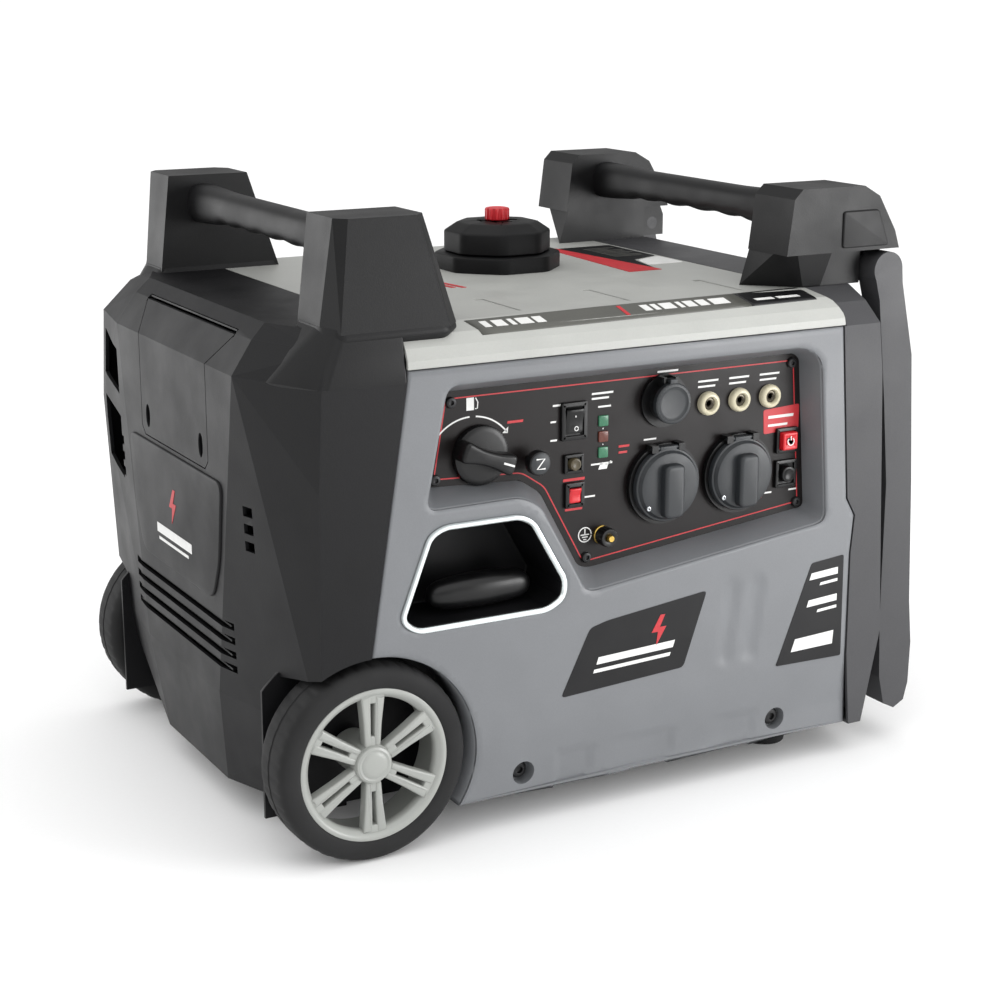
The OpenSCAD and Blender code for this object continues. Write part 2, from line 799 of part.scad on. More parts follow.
// Hinged round lid of an AC outlet, with a raised rib down its middle.
module outlet_cap(p) {
    r = outlet_d / 2 - 4;
    y1 = plate_y - 5.4;
    hinge = [outlet_hinge_y, p[1] + outlet_d / 2 - 4];
    difference() {
        union() {
            rod_y(r, y1 - 9, y1, p);
            intersection() {
                rod_y(r, y1 - 17, y1, p);
                box([p[0] - 10, y1 - 17, p[1] - 60], [p[0] + 10, y1, p[1] + r - 9]);
            }
        }
        for (s = [-1, 1])
            box([p[0] + s * 13 - 4, outlet_hinge_y - 4.2, p[1] + r - 9],
                [p[0] + s * 13 + 4, y1 + 1, p[1] + r + 9]);
    }
    rod_x(hinge_r, p[0] - 15, p[0] + 15, hinge);
    box([p[0] - 8, hinge[0] - hinge_r, hinge[1] - hinge_r],
        [p[0] + 8, hinge[0] + hinge_r, hinge[1] + hinge_r]);
}

module ac_cap_left() {
    color([0.2, 0.21, 0.22]) outlet_cap(outlets_at[0]);
}

module ac_cap_right() {
    color([0.2, 0.21, 0.22]) outlet_cap(outlets_at[1]);
}

module screws() {
    color([0.2, 0.2, 0.2]) {
        for (p = plate_screws) {
            rod_y(4.5, plate_y - 3, plate_y, p);
            rod_y(2, plate_y - 1, plate_y + 12, p);
        }
        both_sides()
            for (p = skirt_screws) {
                rod_y(7.5, yf + 8, yf + 14, [p[0], p[1] + 2]);
                rod_y(2.5, yf + 13, yf + 26, [p[0], p[1] + 2]);
            }
    }
}

// ---------- starter ----------

module recoil_pocket() {
    back = pocket_back + wall;
    color([0.08, 0.08, 0.08])
        difference() {
            along_y(yf, back) polygon(pocket);
            along_y(yf - 1, pocket_back) offset(delta = -wall) polygon(pocket);
            rod_y(rope_d / 2 + 1, pocket_back - 1, back + 1, [rope_x, rope_z]);
        }
}

module pocket_trim() {
    color([0.88, 0.9, 0.9])
        along_y(yf - 3, yf) difference() {
            offset(delta = 4) polygon(pocket);
            offset(delta = -3) polygon(pocket);
        }
}

module recoil_grip() {
    y0 = pocket_back - 42;
    color([0.12, 0.12, 0.12]) {
        for (s = [-1, 1])
            rod_y(12, y0, y0 + 20, [rope_x + s * 30, rope_z]);
        box([rope_x - 30, y0, rope_z - 12], [rope_x + 30, y0 + 20, rope_z + 12]);
    }
}

module rope_lead() {
    color([0.6, 0.6, 0.58])
        rod_y(rope_d / 2, pocket_back - 22, reel_y - 0.5, [rope_x, rope_z]);
}

module recoil_rope() {
    color([0.6, 0.6, 0.58])
        difference() {
            rod_y(reel_r, reel_y, reel_y + 12, [crank_x, crank_z]);
            rod_y(reel_r - rope_d, reel_y - 1, reel_y + 13, [crank_x, crank_z]);
        }
}

module recoil_reel() {
    color([0.15, 0.15, 0.15])
        difference() {
            union() {
                rod_y(reel_r - rope_d, reel_y, reel_y + 12, [crank_x, crank_z]);
                rod_y(reel_r + 3, reel_y + 12, reel_y + 14, [crank_x, crank_z]);
            }
            rod_y(5 + fit, reel_y - 1, reel_y + 15, [crank_x, crank_z]);
        }
}

module recoil_housing() {
    y0 = reel_y - 5;
    color([0.12, 0.12, 0.12]) {
        difference() {
            rod_y(82, y0, reel_y + 32, [crank_x, crank_z]);
            rod_y(79, y0 + 2.5, reel_y + 33, [crank_x, crank_z]);
            rod_y(rope_d / 2 + 1, y0 - 1, y0 + 4, [rope_x, rope_z]);
        }
        rod_y(5, y0 + 1, reel_y + 15, [crank_x, crank_z]);
    }
}

// ---------- fuel ----------

module octagon(d) {
    circle(r = d / 2, $fn = 8);
}

module fuel_tank() {
    color([0.12, 0.12, 0.12])
        difference() {
            box([-165, -60, tank_z0], [175, 186, tank_z1]);
            box([-162, -57, tank_z0 + 3], [172, 183, tank_z1 - 3]);
            translate([filler_x, filler_y, tank_z1 - 20]) cylinder(r = neck_d / 2 - 3, h = 40);
        }
}

module filler_collar() {
    color([0.09, 0.09, 0.09])
        translate([filler_x, filler_y, 0])
            difference() {
                union() {
                    translate([0, 0, cover_z]) rotate(22.5) linear_extrude(flange_h) octagon(cap_d + 18);
                    translate([0, 0, tank_z1]) cylinder(r = neck_d / 2, h = neck_z - tank_z1);
                }
                translate([0, 0, tank_z1 - 1]) cylinder(r = neck_d / 2 - 3, h = 120);
            }
}

module fuel_cap() {
    color([0.1, 0.1, 0.1])
        translate([filler_x, filler_y, fuel_cap_z])
            difference() {
                union() {
                    rotate(22.5) linear_extrude(cap_h - 6) octagon(cap_d);
                    translate([0, 0, cap_h - 6 - eps]) rotate(22.5)
                        linear_extrude(6 + eps) octagon(cap_d - 12);
                }
                translate([0, 0, -1]) cylinder(r = neck_d / 2 + 0.6, h = 1 + 8.4);
                translate([0, 0, cap_h - 8]) cylinder(r = 5 + fit, h = 9);
            }
}

module vent_knob() {
    color([0.8, 0.12, 0.14])
        translate([filler_x, filler_y, fuel_cap_z + cap_h]) {
            difference() {
                translate([0, 0, 0.3]) cylinder(r = 11, h = 11);
                for (i = [0:9])
                    rotate(i * 36) translate([11.8, 0, -1]) cylinder(r = 1.6, h = 14, $fn = 16);
            }
            translate([0, 0, -7]) cylinder(r = 5, h = 8);
        }
}

// ---------- engine and generator ----------

module engine_block() {
    y0 = rotor_y + 54;
    color([0.6, 0.61, 0.62])
        difference() {
            union() {
                box([crank_x - 62, y0, 110], [crank_x + 62, y0 + 130, 262]);
                // Finned cylinder towards the wheel end
                box([crank_x - 128, y0 + 25, 160], [crank_x - 62 + eps, y0 + 105, 240]);
                for (i = [0:5])
                    box([crank_x - 124 + i * 11, y0 + 12, 146],
                        [crank_x - 121 + i * 11, y0 + 118, 254]);
            }
            rod_y(crank_r + fit, y0 - 1, y0 + 111, [crank_x, crank_z]);
        }
}

module crankshaft() {
    color([0.55, 0.55, 0.56])
        rod_y(crank_r, rotor_y, rotor_y + 160, [crank_x, crank_z]);
}

module rotor() {
    color([0.4, 0.4, 0.42])
        difference() {
            rod_y(76, rotor_y + 2, rotor_y + 46, [crank_x, crank_z]);
            rod_y(66, rotor_y + 8, rotor_y + 47, [crank_x, crank_z]);
            rod_y(crank_r, rotor_y - 1, rotor_y + 10, [crank_x, crank_z]);
        }
}

module stator() {
    y0 = rotor_y + 12;
    color([0.6, 0.35, 0.15])
        difference() {
            union() {
                rod_y(44, y0, y0 + 34, [crank_x, crank_z]);
                for (i = [0:11])
                    translate([crank_x, y0, crank_z]) rotate([0, i * 30, 0])
                        box([40, 0, -7], [63, 34, 7]);
                // Mounting sleeve against the engine block
                rod_y(30, y0 + 33, rotor_y + 54, [crank_x, crank_z]);
            }
            rod_y(22, y0 - 1, rotor_y + 60, [crank_x, crank_z]);
        }
}

module muffler() {
    color([0.45, 0.44, 0.42])
        difference() {
            union() {
                rod_y(42, 10, 160, [xr - 120, 100]);
                rod_x(14, xr - 90, xr - 3, [90, 110]);
            }
            rod_x(11.5, xr - 70, xr, [90, 110]);
        }
}

module carburettor() {
    color([0.6, 0.6, 0.6]) {
        box([crank_x - 118, -12, 258], [crank_x - 88, 18, 284]);
        rod_y(12, -40, -12 + eps, [crank_x - 103, 271]);
    }
}

module air_filter_box() {
    color([0.1, 0.1, 0.1])
        difference() {
            box([xl + 22, -70, 296], [xl + 78, 70, 374]);
            // Opening of the box behind the hatch
            box([xl + 21, -66, 300], [xl + 74, 66, 370]);
        }
}

module spark_plug() {
    y = rotor_y + 54 + 65;
    color([0.85, 0.85, 0.82]) {
        rod_x(6, crank_x - 150, crank_x - 128, [y, 200]);
        rod_x(9, crank_x - 143, crank_x - 135, [y, 200]);
    }
}

module oil_cap() {
    y = rotor_y + 54 + 130;
    color([0.1, 0.1, 0.1]) {
        rod_y(14, y, y + 22, [crank_x - 20, 132]);
        rod_y(18, y + 22 - eps, y + 28, [crank_x - 20, 132]);
    }
}

module inverter_module() {
    y0 = plate_y + 62;
    color([0.5, 0.51, 0.52]) {
        box([10, y0, 215], [190, y0 + 42, 275]);
        for (i = [0:11])
            box([14 + i * 15, y0 + 42 - eps, 215], [18 + i * 15, y0 + 62, 275]);
    }
}

base_tray();
front_shell();
rear_shell();
top_cover();
left_end_shell();
right_end_shell();
left_hatch();
service_door();
handle_towers();
carry_grips();
tow_handle();
tow_pivots();
axle();
tyre();  // front_tyre
rim();  // front_rim
hub_cap();  // front_hub_cap
mirror([0, 1, 0]) tyre();  // rear_tyre
mirror([0, 1, 0]) rim();  // rear_rim
mirror([0, 1, 0]) hub_cap();  // rear_hub_cap
rubber_feet();
panel_plate();
screws();
switch_bezels();
engine_knob();
choke_knob();
eco_rocker();
reset_button();
parallel_rocker();
indicator_lamps();
ground_stud();
ground_nut();
dc_socket();
dc_cap();
parallel_terminals();
ac_outlets();
ac_cap_left();
ac_cap_right();
red_breaker();
black_breaker();
recoil_pocket();
pocket_trim();
recoil_grip();
rope_lead();
recoil_rope();
recoil_reel();
recoil_housing();
fuel_tank();
filler_collar();
fuel_cap();
vent_knob();
engine_block();
crankshaft();
rotor();
stator();
muffler();
air_filter_box();
carburettor();
spark_plug();
oil_cap();
inverter_module();
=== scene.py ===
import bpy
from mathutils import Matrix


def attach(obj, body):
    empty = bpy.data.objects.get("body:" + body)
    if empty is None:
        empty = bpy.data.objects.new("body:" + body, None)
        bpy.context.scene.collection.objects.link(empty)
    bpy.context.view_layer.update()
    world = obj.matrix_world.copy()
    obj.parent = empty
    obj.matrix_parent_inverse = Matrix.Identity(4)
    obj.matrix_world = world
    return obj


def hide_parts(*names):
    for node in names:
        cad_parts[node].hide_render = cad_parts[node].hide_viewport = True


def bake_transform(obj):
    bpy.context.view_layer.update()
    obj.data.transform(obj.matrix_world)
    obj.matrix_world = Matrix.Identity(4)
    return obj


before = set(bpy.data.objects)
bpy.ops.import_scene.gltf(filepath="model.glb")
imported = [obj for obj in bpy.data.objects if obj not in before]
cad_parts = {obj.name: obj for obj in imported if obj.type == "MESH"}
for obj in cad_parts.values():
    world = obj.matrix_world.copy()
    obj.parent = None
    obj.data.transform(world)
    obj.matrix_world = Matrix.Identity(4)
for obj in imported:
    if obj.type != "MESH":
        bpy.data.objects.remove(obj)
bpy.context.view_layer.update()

import math

import bmesh
import bpy
import numpy as np
from mathutils import Vector
from mathutils.geometry import delaunay_2d_cdt

bl_info = {
    "name": "Portable Generator Finish",
    "version": (1, 0, 0),
    "blender": (4, 5, 0),
    "location": "View3D > Sidebar > Generator",
    "description": "Builds the finished pieces and materials of a wheeled inverter generator",
    "category": "Object",
}

MM = 0.001
FRONT_Y = -218.0      # face of the front side shell, mm
PLATE_Y = -193.0      # face of the control panel plate, mm
SEAM_Z = 386.0        # seam between the side shells and the top cover, mm


# ---------- mesh helpers: every shape is worked out as whole arrays, in mm ----------

def unit(vectors):
    return vectors / np.linalg.norm(vectors, axis=-1, keepdims=True)


def soften(outline, setback, steps=5):
    """Round corners: a quadratic curve runs between the points `setback` before and after each."""
    p = np.asarray(outline, float)
    before, after = np.roll(p, 1, 0) - p, np.roll(p, -1, 0) - p
    back, ahead = np.linalg.norm(before, axis=1), np.linalg.norm(after, axis=1)
    reach = np.minimum(np.broadcast_to(setback, back.shape), 0.46 * np.minimum(back, ahead))[:, None]
    a = (p + before / back[:, None] * reach)[:, None]
    b = (p + after / ahead[:, None] * reach)[:, None]
    s = np.linspace(0, 1, steps + 1)[None, :, None]
    return ((1 - s) ** 2 * a + 2 * s * (1 - s) * p[:, None] + s ** 2 * b).reshape(-1, 2)


def grown(outline, distance):
    """The outline moved outwards: each point goes along the mitre of its two edges' normals."""
    p = np.asarray(outline, float)
    edge = np.roll(p, -1, 0) - p
    normal = unit(np.stack([edge[:, 1], -edge[:, 0]], 1) + 1e-12)
    q = np.roll(p, -1, 0)
    if (p[:, 0] * q[:, 1] - q[:, 0] * p[:, 1]).sum() < 0:
        normal = -normal
    prior = np.roll(normal, 1, 0)
    share = np.maximum(1 + (normal * prior).sum(1, keepdims=True), 0.5)
    return p + distance * (normal + prior) / share


def disc(radius, count=48, at=(0, 0)):
    """Points of a circle."""
    a = np.linspace(0, 2 * np.pi, count, endpoint=False)
    return np.stack([at[0] + radius * np.cos(a), at[1] + radius * np.sin(a)], 1)


def grid_faces(rows, cols, wrap_rows=False, wrap_cols=True):
    """Quads between neighbouring rows and columns of a grid of points."""
    i = np.arange(rows if wrap_rows else rows - 1)[:, None]
    j = np.arange(cols if wrap_cols else cols - 1)[None, :]
    k, m = (i + 1) % rows, (j + 1) % cols
    quads = np.stack(np.broadcast_arrays(i * cols + j, i * cols + m, k * cols + m, k * cols + j), -1)
    return quads.reshape(-1, 4).tolist()


def skin(grid, wrap_rows=False, wrap_cols=True, caps=True):
    """A grid of points as a surface; caps close its first and last row with one face each."""
    rows, cols = grid.shape[:2]
    faces = grid_faces(rows, cols, wrap_rows, wrap_cols)
    if caps and not wrap_rows:
        faces += [list(range(cols))[::-1], list(range((rows - 1) * cols, rows * cols))]
    return grid.reshape(-1, 3), faces


def stacked(outline, levels, place):
    """Copies of an outline one above another, each (grown by, height); place gives X, Y, Z."""
    rows = [place(*grown(outline, g).T, h) for g, h in levels]
    return skin(np.stack(rows))


def on_front(y):
    """Placement for pieces on a plane facing -Y: height counts outwards from that plane."""
    return lambda u, v, h: np.stack([u, y - h + 0 * u, v], -1)


def upward(z):
    return lambda u, v, h: np.stack([u, v, z + h + 0 * u], -1)


def facing_left(x):
    """Outline in Y and Z, height towards -X."""
    return lambda u, v, h: np.stack([x - h + 0 * u, u, v], -1)


def pillow(outline, depth, edge, place, base=0.0, steps=4):
    """A slab with a round upper edge: the edge follows a quarter circle of radius `edge`."""
    a = np.linspace(0, np.pi / 2, steps + 1)
    levels = [(0, base)] + [(-edge * (1 - np.cos(t)), depth - edge + edge * np.sin(t)) for t in a]
    return stacked(outline, levels, place)


def revolved(profile, at, count=64, axis="y", flip=1):
    """A profile of (radius, height) turned about an axis through `at`, heights along it times flip."""
    p = np.asarray(profile, float)
    a = np.linspace(0, 2 * np.pi, count, endpoint=False)
    r, h = p[:, :1], p[:, 1:] * flip + 0 * a
    c, s = r * np.cos(a), r * np.sin(a)
    grid = {"y": (c, h, s), "z": (c, s, h), "x": (h, c, s)}[axis]
    return skin(np.stack(grid, -1) + np.asarray(at, float))


def ringed(profile, at, count, ripple, axis="y", flip=1):
    """Like revolved, with the radius scaled by ripple(angle, height), for knurls, flutes and treads."""
    p = np.asarray(profile, float)
    a = np.linspace(0, 2 * np.pi, count, endpoint=False)[None]
    h = p[:, 1:]
    r = p[:, :1] * ripple(a, h)
    c, s, h = r * np.cos(a), r * np.sin(a), h * flip + 0 * a
    grid = {"y": (c, h, s), "z": (c, s, h), "x": (h, c, s)}[axis]
    return skin(np.stack(grid, -1) + np.asarray(at, float))


def hoop(part, rows):
    """A turned grid whose last row is joined to its first: a ring without caps."""
    points = part[0]
    return points, grid_faces(rows, len(points) // rows, True, True)


def swept(path, section, side, wrap=False):
    """A section of (across, up) offsets carried along a path; across follows `side`, squared to it."""
    path, section = np.asarray(path, float), np.asarray(section, float)
    ahead = (np.roll(path, -1, 0) - np.roll(path, 1, 0)) if wrap else np.gradient(path, axis=0)
    ahead = unit(ahead)
    up = unit(np.cross(ahead, np.broadcast_to(np.asarray(side, float), path.shape)))
    across = np.cross(up, ahead)
    grid = path[:, None] + section[None, :, :1] * across[:, None] + section[None, :, 1:2] * up[:, None]
    return skin(grid, wrap_rows=wrap)


def trimmed(outline, holes, spacing, height, extra=()):
    """A sheet over the outline less its holes: a Delaunay mesh of the edges and of an even lattice of
    inner points,
    whose third coordinate is height(u, v)."""
    loops = ([np.asarray(outline, float)] + [np.asarray(h, float) for h in holes]
             + [np.asarray(e, float) for e in extra])
    points, edges, count = [], [], 0
    for loop in loops:
        edges += [(count + i, count + (i + 1) % len(loop)) for i in range(len(loop))]
        points.append(loop)
        count += len(loop)
    low, high = loops[0].min(0), loops[0].max(0)
    u, v = np.meshgrid(np.arange(low[0], high[0], spacing), np.arange(low[1], high[1], spacing))
    lattice = np.stack([u.ravel(), v.ravel()], 1)
    lattice = lattice[inside(lattice, loops[0])]
    for hole in loops[1:1 + len(holes)]:
        lattice = lattice[~inside(lattice, hole)]
    edge_points = np.concatenate(points)
    near = ((lattice[:, None] - edge_points[None]) ** 2).sum(-1).min(1) < (0.45 * spacing) ** 2
    points = np.concatenate([edge_points, lattice[~near]])
    out = delaunay_2d_cdt([Vector(p) for p in points], edges, [], 0, 1e-5)
    uv = np.array([tuple(p) for p in out[0]])
    tris = np.array([f for f in out[2] if len(f) == 3])
    middle = uv[tris].mean(1)
    keep = inside(middle, loops[0])
    for hole in loops[1:1 + len(holes)]:
        keep &= ~inside(middle, hole)
    return np.column_stack([uv, height(uv[:, 0], uv[:, 1])]), tris[keep].tolist()


def inside(points, outline):
    """Even-odd test of many points against one outline."""
    x, y = points[:, :1], points[:, 1:]
    a, b = outline, np.roll(outline, -1, 0)
    crosses = (a[:, 1] > y) != (b[:, 1] > y)
    dy = np.where(b[:, 1] == a[:, 1], 1e-12, b[:, 1] - a[:, 1])
    at = a[:, 0] + (y - a[:, 1]) * (b[:, 0] - a[:, 0]) / dy
    return ((crosses & (x < at)).sum(1) % 2).astype(bool)


def step(x, low, high):
    """0 below low, 1 above high and a smooth cubic between."""
    t = np.clip((x - low) / (high - low), 0, 1)
    return t * t * (3 - 2 * t)


def mirrored(part):
    """The same part on the other side of the machine."""
    points, faces = part
    return points * [1, -1, 1], [f[::-1] for f in faces]


def piece(name, parts, finish, body, replaces=(), outward=None, thickness=0.0,
          rounding=0.0, segments=2, crease=35.0, turn=None):
    """Joins the parts into one object at the origin, gives it its finish and hangs it on its body."""
    points = np.concatenate([p for p, _ in parts])
    starts = np.cumsum([0] + [len(p) for p, _ in parts])
    faces = [[i + s for i in f] for (_, fs), s in zip(parts, starts) for f in fs]
    if turn is not None:
        points = turn(points)
    mesh = bpy.data.meshes.new(name)
    mesh.from_pydata((points * MM).tolist(), [], faces)
    work = bmesh.new()
    work.from_mesh(mesh)
    bmesh.ops.remove_doubles(work, verts=work.verts, dist=2e-6)
    bmesh.ops.recalc_face_normals(work, faces=work.faces)
    if outward is not None:
        lean = sum((f.normal * f.calc_area() for f in work.faces), Vector()).dot(Vector(outward))
        if lean < 0:
            bmesh.ops.reverse_faces(work, faces=work.faces)
    work.to_mesh(mesh)
    work.free()
    mesh.polygons.foreach_set("use_smooth", [True] * len(mesh.polygons))
    mesh.set_sharp_from_angle(angle=math.radians(crease))
    obj = bpy.data.objects.new(name, mesh)
    bpy.context.scene.collection.objects.link(obj)
    mesh.materials.append(material(finish))
    if thickness:
        wall = obj.modifiers.new("Wall", "SOLIDIFY")
        wall.thickness, wall.offset = thickness * MM, -1
    if rounding:
        round_edges(obj, rounding, segments)
    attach(obj, body)
    if replaces:
        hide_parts(*replaces)
    return obj


def round_edges(obj, width, segments=2, angle=30):
    edge = obj.modifiers.new("Rounded edges", "BEVEL")
    edge.width, edge.segments = width * MM, segments
    edge.limit_method, edge.angle_limit = "ANGLE", math.radians(angle)
    edge.harden_normals = True
    edge.use_clamp_overlap = True


def dress(node, finish, rounding=0.0, segments=2):
    """Gives a CAD node its finish, and round edges where they show."""
    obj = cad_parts[node]
    obj.data.materials.clear()
    obj.data.materials.append(material(finish))
    if rounding:
        weld = obj.modifiers.new("Joined corners", "WELD")
        weld.merge_threshold = 2e-6
        round_edges(obj, rounding, segments)
    return obj


# ---------- materials ----------

def linear(code):
    """sRGB hex to linear colour."""
    c = np.array([int(code[i:i + 2], 16) for i in (0, 2, 4)]) / 255
    c = np.where(c <= 0.04045, c / 12.92, ((c + 0.055) / 1.055) ** 2.4)
    return (*c.tolist(), 1.0)


def shaded(code, factor):
    r, g, b, a = linear(code)
    return (min(r * factor, 1), min(g * factor, 1), min(b * factor, 1), a)


def add_node(tree, kind, inputs=None, **settings):
    """Adds a node with its settings; an input is a value, or another node's output to link."""
    node = tree.nodes.new(kind)
    for key, value in settings.items():
        setattr(node, key, value)
    for key, value in (inputs or {}).items():
        if isinstance(value, bpy.types.NodeSocket):
            tree.links.new(value, node.inputs[key])
        else:
            node.inputs[key].default_value = value
    return node


def per_metre(millimetres):
    """Noise scale whose features are that far apart."""
    return 1000.0 / millimetres


def grained(mat, colour, roughness, grain, depth, mottle=0.06, patch=45.0, metallic=0.0, ior=1.5,
            stretch=None,
            coat=0.0, gloss=0.5):
    """Surface with a fine grain as bump, slow colour patches, and a roughness that follows them."""
    tree = mat.node_tree
    tree.nodes.clear()
    out = tree.nodes.new("ShaderNodeOutputMaterial")
    where = add_node(tree, "ShaderNodeTexCoord").outputs["Object"]
    if stretch:
        where = add_node(tree, "ShaderNodeMapping", {"Vector": where, "Scale": stretch}).outputs["Vector"]
    fine = add_node(tree, "ShaderNodeTexNoise", {"Vector": where, "Scale": per_metre(grain), "Detail": 3.0,
                                                 "Roughness": 0.6})
    slow = add_node(tree, "ShaderNodeTexNoise", {"Vector": where, "Scale": per_metre(patch), "Detail": 4.0})
    tint = add_node(tree, "ShaderNodeMapRange", {"Value": slow.outputs["Fac"], "From Min": 0.3,
                                                 "From Max": 0.7})
    colour_mix = add_node(tree, "ShaderNodeMix", {"Factor": tint.outputs["Result"]}, data_type="RGBA")
    colour_mix.inputs["A"].default_value = shaded(colour, 1 - mottle)
    colour_mix.inputs["B"].default_value = shaded(colour, 1 + mottle)
    fleck = add_node(tree, "ShaderNodeMapRange", {"Value": fine.outputs["Fac"], "From Min": 0.35,
                                                  "From Max": 0.65,
                                                  "To Min": 1 - mottle * 0.6, "To Max": 1 + mottle * 0.6})
    base = add_node(tree, "ShaderNodeMix", {"Factor": 1.0}, data_type="RGBA", blend_type="MULTIPLY")
    tree.links.new(colour_mix.outputs["Result"], base.inputs["A"])
    tree.links.new(fleck.outputs["Result"], base.inputs["B"])
    rough = add_node(tree, "ShaderNodeMapRange", {"Value": slow.outputs["Fac"], "From Min": 0.3,
                                                  "From Max": 0.7,
                                                  "To Min": max(roughness - 0.06, 0.03),
                                                  "To Max": roughness + 0.06})
    bump = add_node(tree, "ShaderNodeBump", {"Height": fine.outputs["Fac"], "Strength": 0.5,
                                             "Distance": depth * MM})
    shader = add_node(tree, "ShaderNodeBsdfPrincipled", {
        "Base Color": base.outputs["Result"], "Roughness": rough.outputs["Result"],
        "Normal": bump.outputs["Normal"], "Metallic": metallic})
    if not metallic:
        shader.inputs["IOR"].default_value = ior
        shader.inputs["Specular IOR Level"].default_value = gloss
    if coat:
        shader.inputs["Coat Weight"].default_value = coat
        shader.inputs["Coat Roughness"].default_value = 0.12
    tree.links.new(shader.outputs["BSDF"], out.inputs["Surface"])


# Each finish: colour, roughness, grain spacing and depth in mm, and what is special about it.
FINISHES = {
    # Moulded ABS, spark-textured: an even, faintly mottled grey with soft highlights.
    "Moulded ABS, mid grey": dict(colour="6d6f72", roughness=0.46, grain=1.4, depth=0.08, mottle=0.035),
    "Moulded ABS, light grey": dict(colour="a6a7a3", roughness=0.42, grain=1.4, depth=0.06, mottle=0.03),
    "Moulded ABS, door grey": dict(colour="717376", roughness=0.46, grain=1.4, depth=0.08, mottle=0.035),
    # Glass-filled polypropylene, spark-textured: near black; the texture traps over half of the sheen,
    # so that the
    # faces turned to the light look charcoal and the others stay black.
    "Textured polypropylene, charcoal": dict(colour="0e0e10", roughness=0.48, grain=1.5, depth=0.14,
                                             mottle=0.15,
                                             gloss=0.24),
    "Textured polypropylene, black": dict(colour="070708", roughness=0.48, grain=1.5, depth=0.12, mottle=0.15,
                                          gloss=0.2),
    # The same black polypropylene drawn lighter: painted light for the brightly lit right end shell and tow
    # arm.
    "Textured polypropylene, black with painted light": dict(colour="404042", roughness=0.48, grain=1.5, depth=0.12,
                                              mottle=0.06,
                                              gloss=0.3),
    "Grained nylon, handle black": dict(colour="131314", roughness=0.46, grain=1.3, depth=0.16, mottle=0.12,
                                        gloss=0.26),
    # Rubber, cured in a mould: almost no sheen, fine powdery grain.
    "Cured rubber, tyre": dict(colour="0d0d0e", roughness=0.78, grain=1.1, depth=0.12, mottle=0.18),
    "Cured rubber, feet": dict(colour="0d0d0e", roughness=0.82, grain=1.1, depth=0.12, mottle=0.18),
    # Painted wheel plastic: pale silver grey, smoother than the shells.
    "Painted ABS, wheel silver": dict(colour="989a96", roughness=0.38, grain=0.9, depth=0.03, mottle=0.03,
                                      coat=0.15),
    # Printed polycarbonate film on the panel: brown-black, satin, very fine emboss.
    "Screened polycarbonate film": dict(colour="0f0a0a", roughness=0.4, grain=0.8, depth=0.03, mottle=0.08,
                                        patch=30,
                                        gloss=0.25),
    "Moulded nylon, control black": dict(colour="0b0b0c", roughness=0.34, grain=0.9, depth=0.04,
                                         mottle=0.15, patch=18,
                                         gloss=0.35),
    "Moulded PVC, lid grey": dict(colour="24272a", roughness=0.45, grain=1.2, depth=0.08, mottle=0.08,
                                  patch=20),
    "Moulded nylon, signal red": dict(colour="c41a24", roughness=0.34, grain=0.9, depth=0.04, mottle=0.06,
                                      patch=15),
    "Screen print, white": dict(colour="dcdcda", roughness=0.5, grain=0.7, depth=0.01, mottle=0.04, patch=9),
    "Screen print, red": dict(colour="b5232b", roughness=0.5, grain=0.7, depth=0.01, mottle=0.06, patch=9),
    "Vinyl label, black": dict(colour="0f0f11", gloss=0.3, roughness=0.36, grain=1.0, depth=0.01,
                               mottle=0.06, patch=30),
    "Vinyl label, grey": dict(colour="4c4c47", roughness=0.4, grain=1.0, depth=0.01, mottle=0.06, patch=30),
    "Lens acrylic, green": dict(colour="2f6a4d", roughness=0.2, grain=0.7, depth=0.02, mottle=0.1, patch=4,
                                ior=1.49),
    "Lens acrylic, amber": dict(colour="5c2d22", roughness=0.2, grain=0.7, depth=0.02, mottle=0.1, patch=4,
                                ior=1.49),
    "Reset cap, olive": dict(colour="4a4230", roughness=0.4, grain=0.8, depth=0.03, mottle=0.1, patch=6),
    "Insulator ring, cream": dict(colour="c9c2a8", roughness=0.3, grain=0.7, depth=0.02, mottle=0.08,
                                  patch=6),
    # Bright vacuum-metallised trim: near white metal, mirror-like but slightly hazy.
    "Metallised trim, bright": dict(colour="e3eaea", roughness=0.2, grain=0.9, depth=0.01, mottle=0.03,
                                    metallic=0.55),
    # Zinc-plated steel: bluish, softly clouded spangle.
    "Zinc-plated steel": dict(colour="b7babd", roughness=0.34, grain=0.8, depth=0.03, mottle=0.08, patch=8,
                              metallic=1.0),
    "Black oxide steel": dict(colour="2a2a2b", roughness=0.42, grain=0.7, depth=0.03, mottle=0.12, patch=8,
                              metallic=0.6),
    # Plated brass sleeve seen down its bore: its colour is darkened as painted shade of the bore.
    "Nickel-plated brass, painted bore shade": dict(colour="4a463e", roughness=0.3, grain=0.6, depth=0.02, mottle=0.1,
                                      patch=4,
                                      metallic=1.0),
    "Turned brass": dict(colour="c2a356", roughness=0.28, grain=0.6, depth=0.02, mottle=0.06, patch=6,
                         metallic=1.0),
    # Sand-cast aluminium: pale, dull, with a coarse skin.
    "Cast aluminium": dict(colour="a8abad", roughness=0.5, grain=1.8, depth=0.2, mottle=0.08, metallic=1.0),
    "Enamelled copper winding": dict(colour="8e4a22", roughness=0.35, grain=1.0, depth=0.2, mottle=0.15,
                                     patch=6,
                                     stretch=(1, 6, 1), metallic=0.8),
    "Heat-tinted muffler steel": dict(colour="6d6a64", roughness=0.5, grain=1.6, depth=0.08, mottle=0.2,
                                      metallic=1.0),
    "Glazed ceramic": dict(colour="e6e4dc", roughness=0.15, grain=1.2, depth=0.01, mottle=0.03, coat=0.6),
    "Rotomoulded polyethylene": dict(colour="121213", roughness=0.55, grain=1.6, depth=0.1, mottle=0.1),
    "Powder-coated tray steel": dict(colour="141415", roughness=0.55, grain=1.4, depth=0.12, mottle=0.1),
    "Braided nylon rope": dict(colour="8a8a83", roughness=0.7, grain=1.2, depth=0.3, mottle=0.2, patch=3),
}


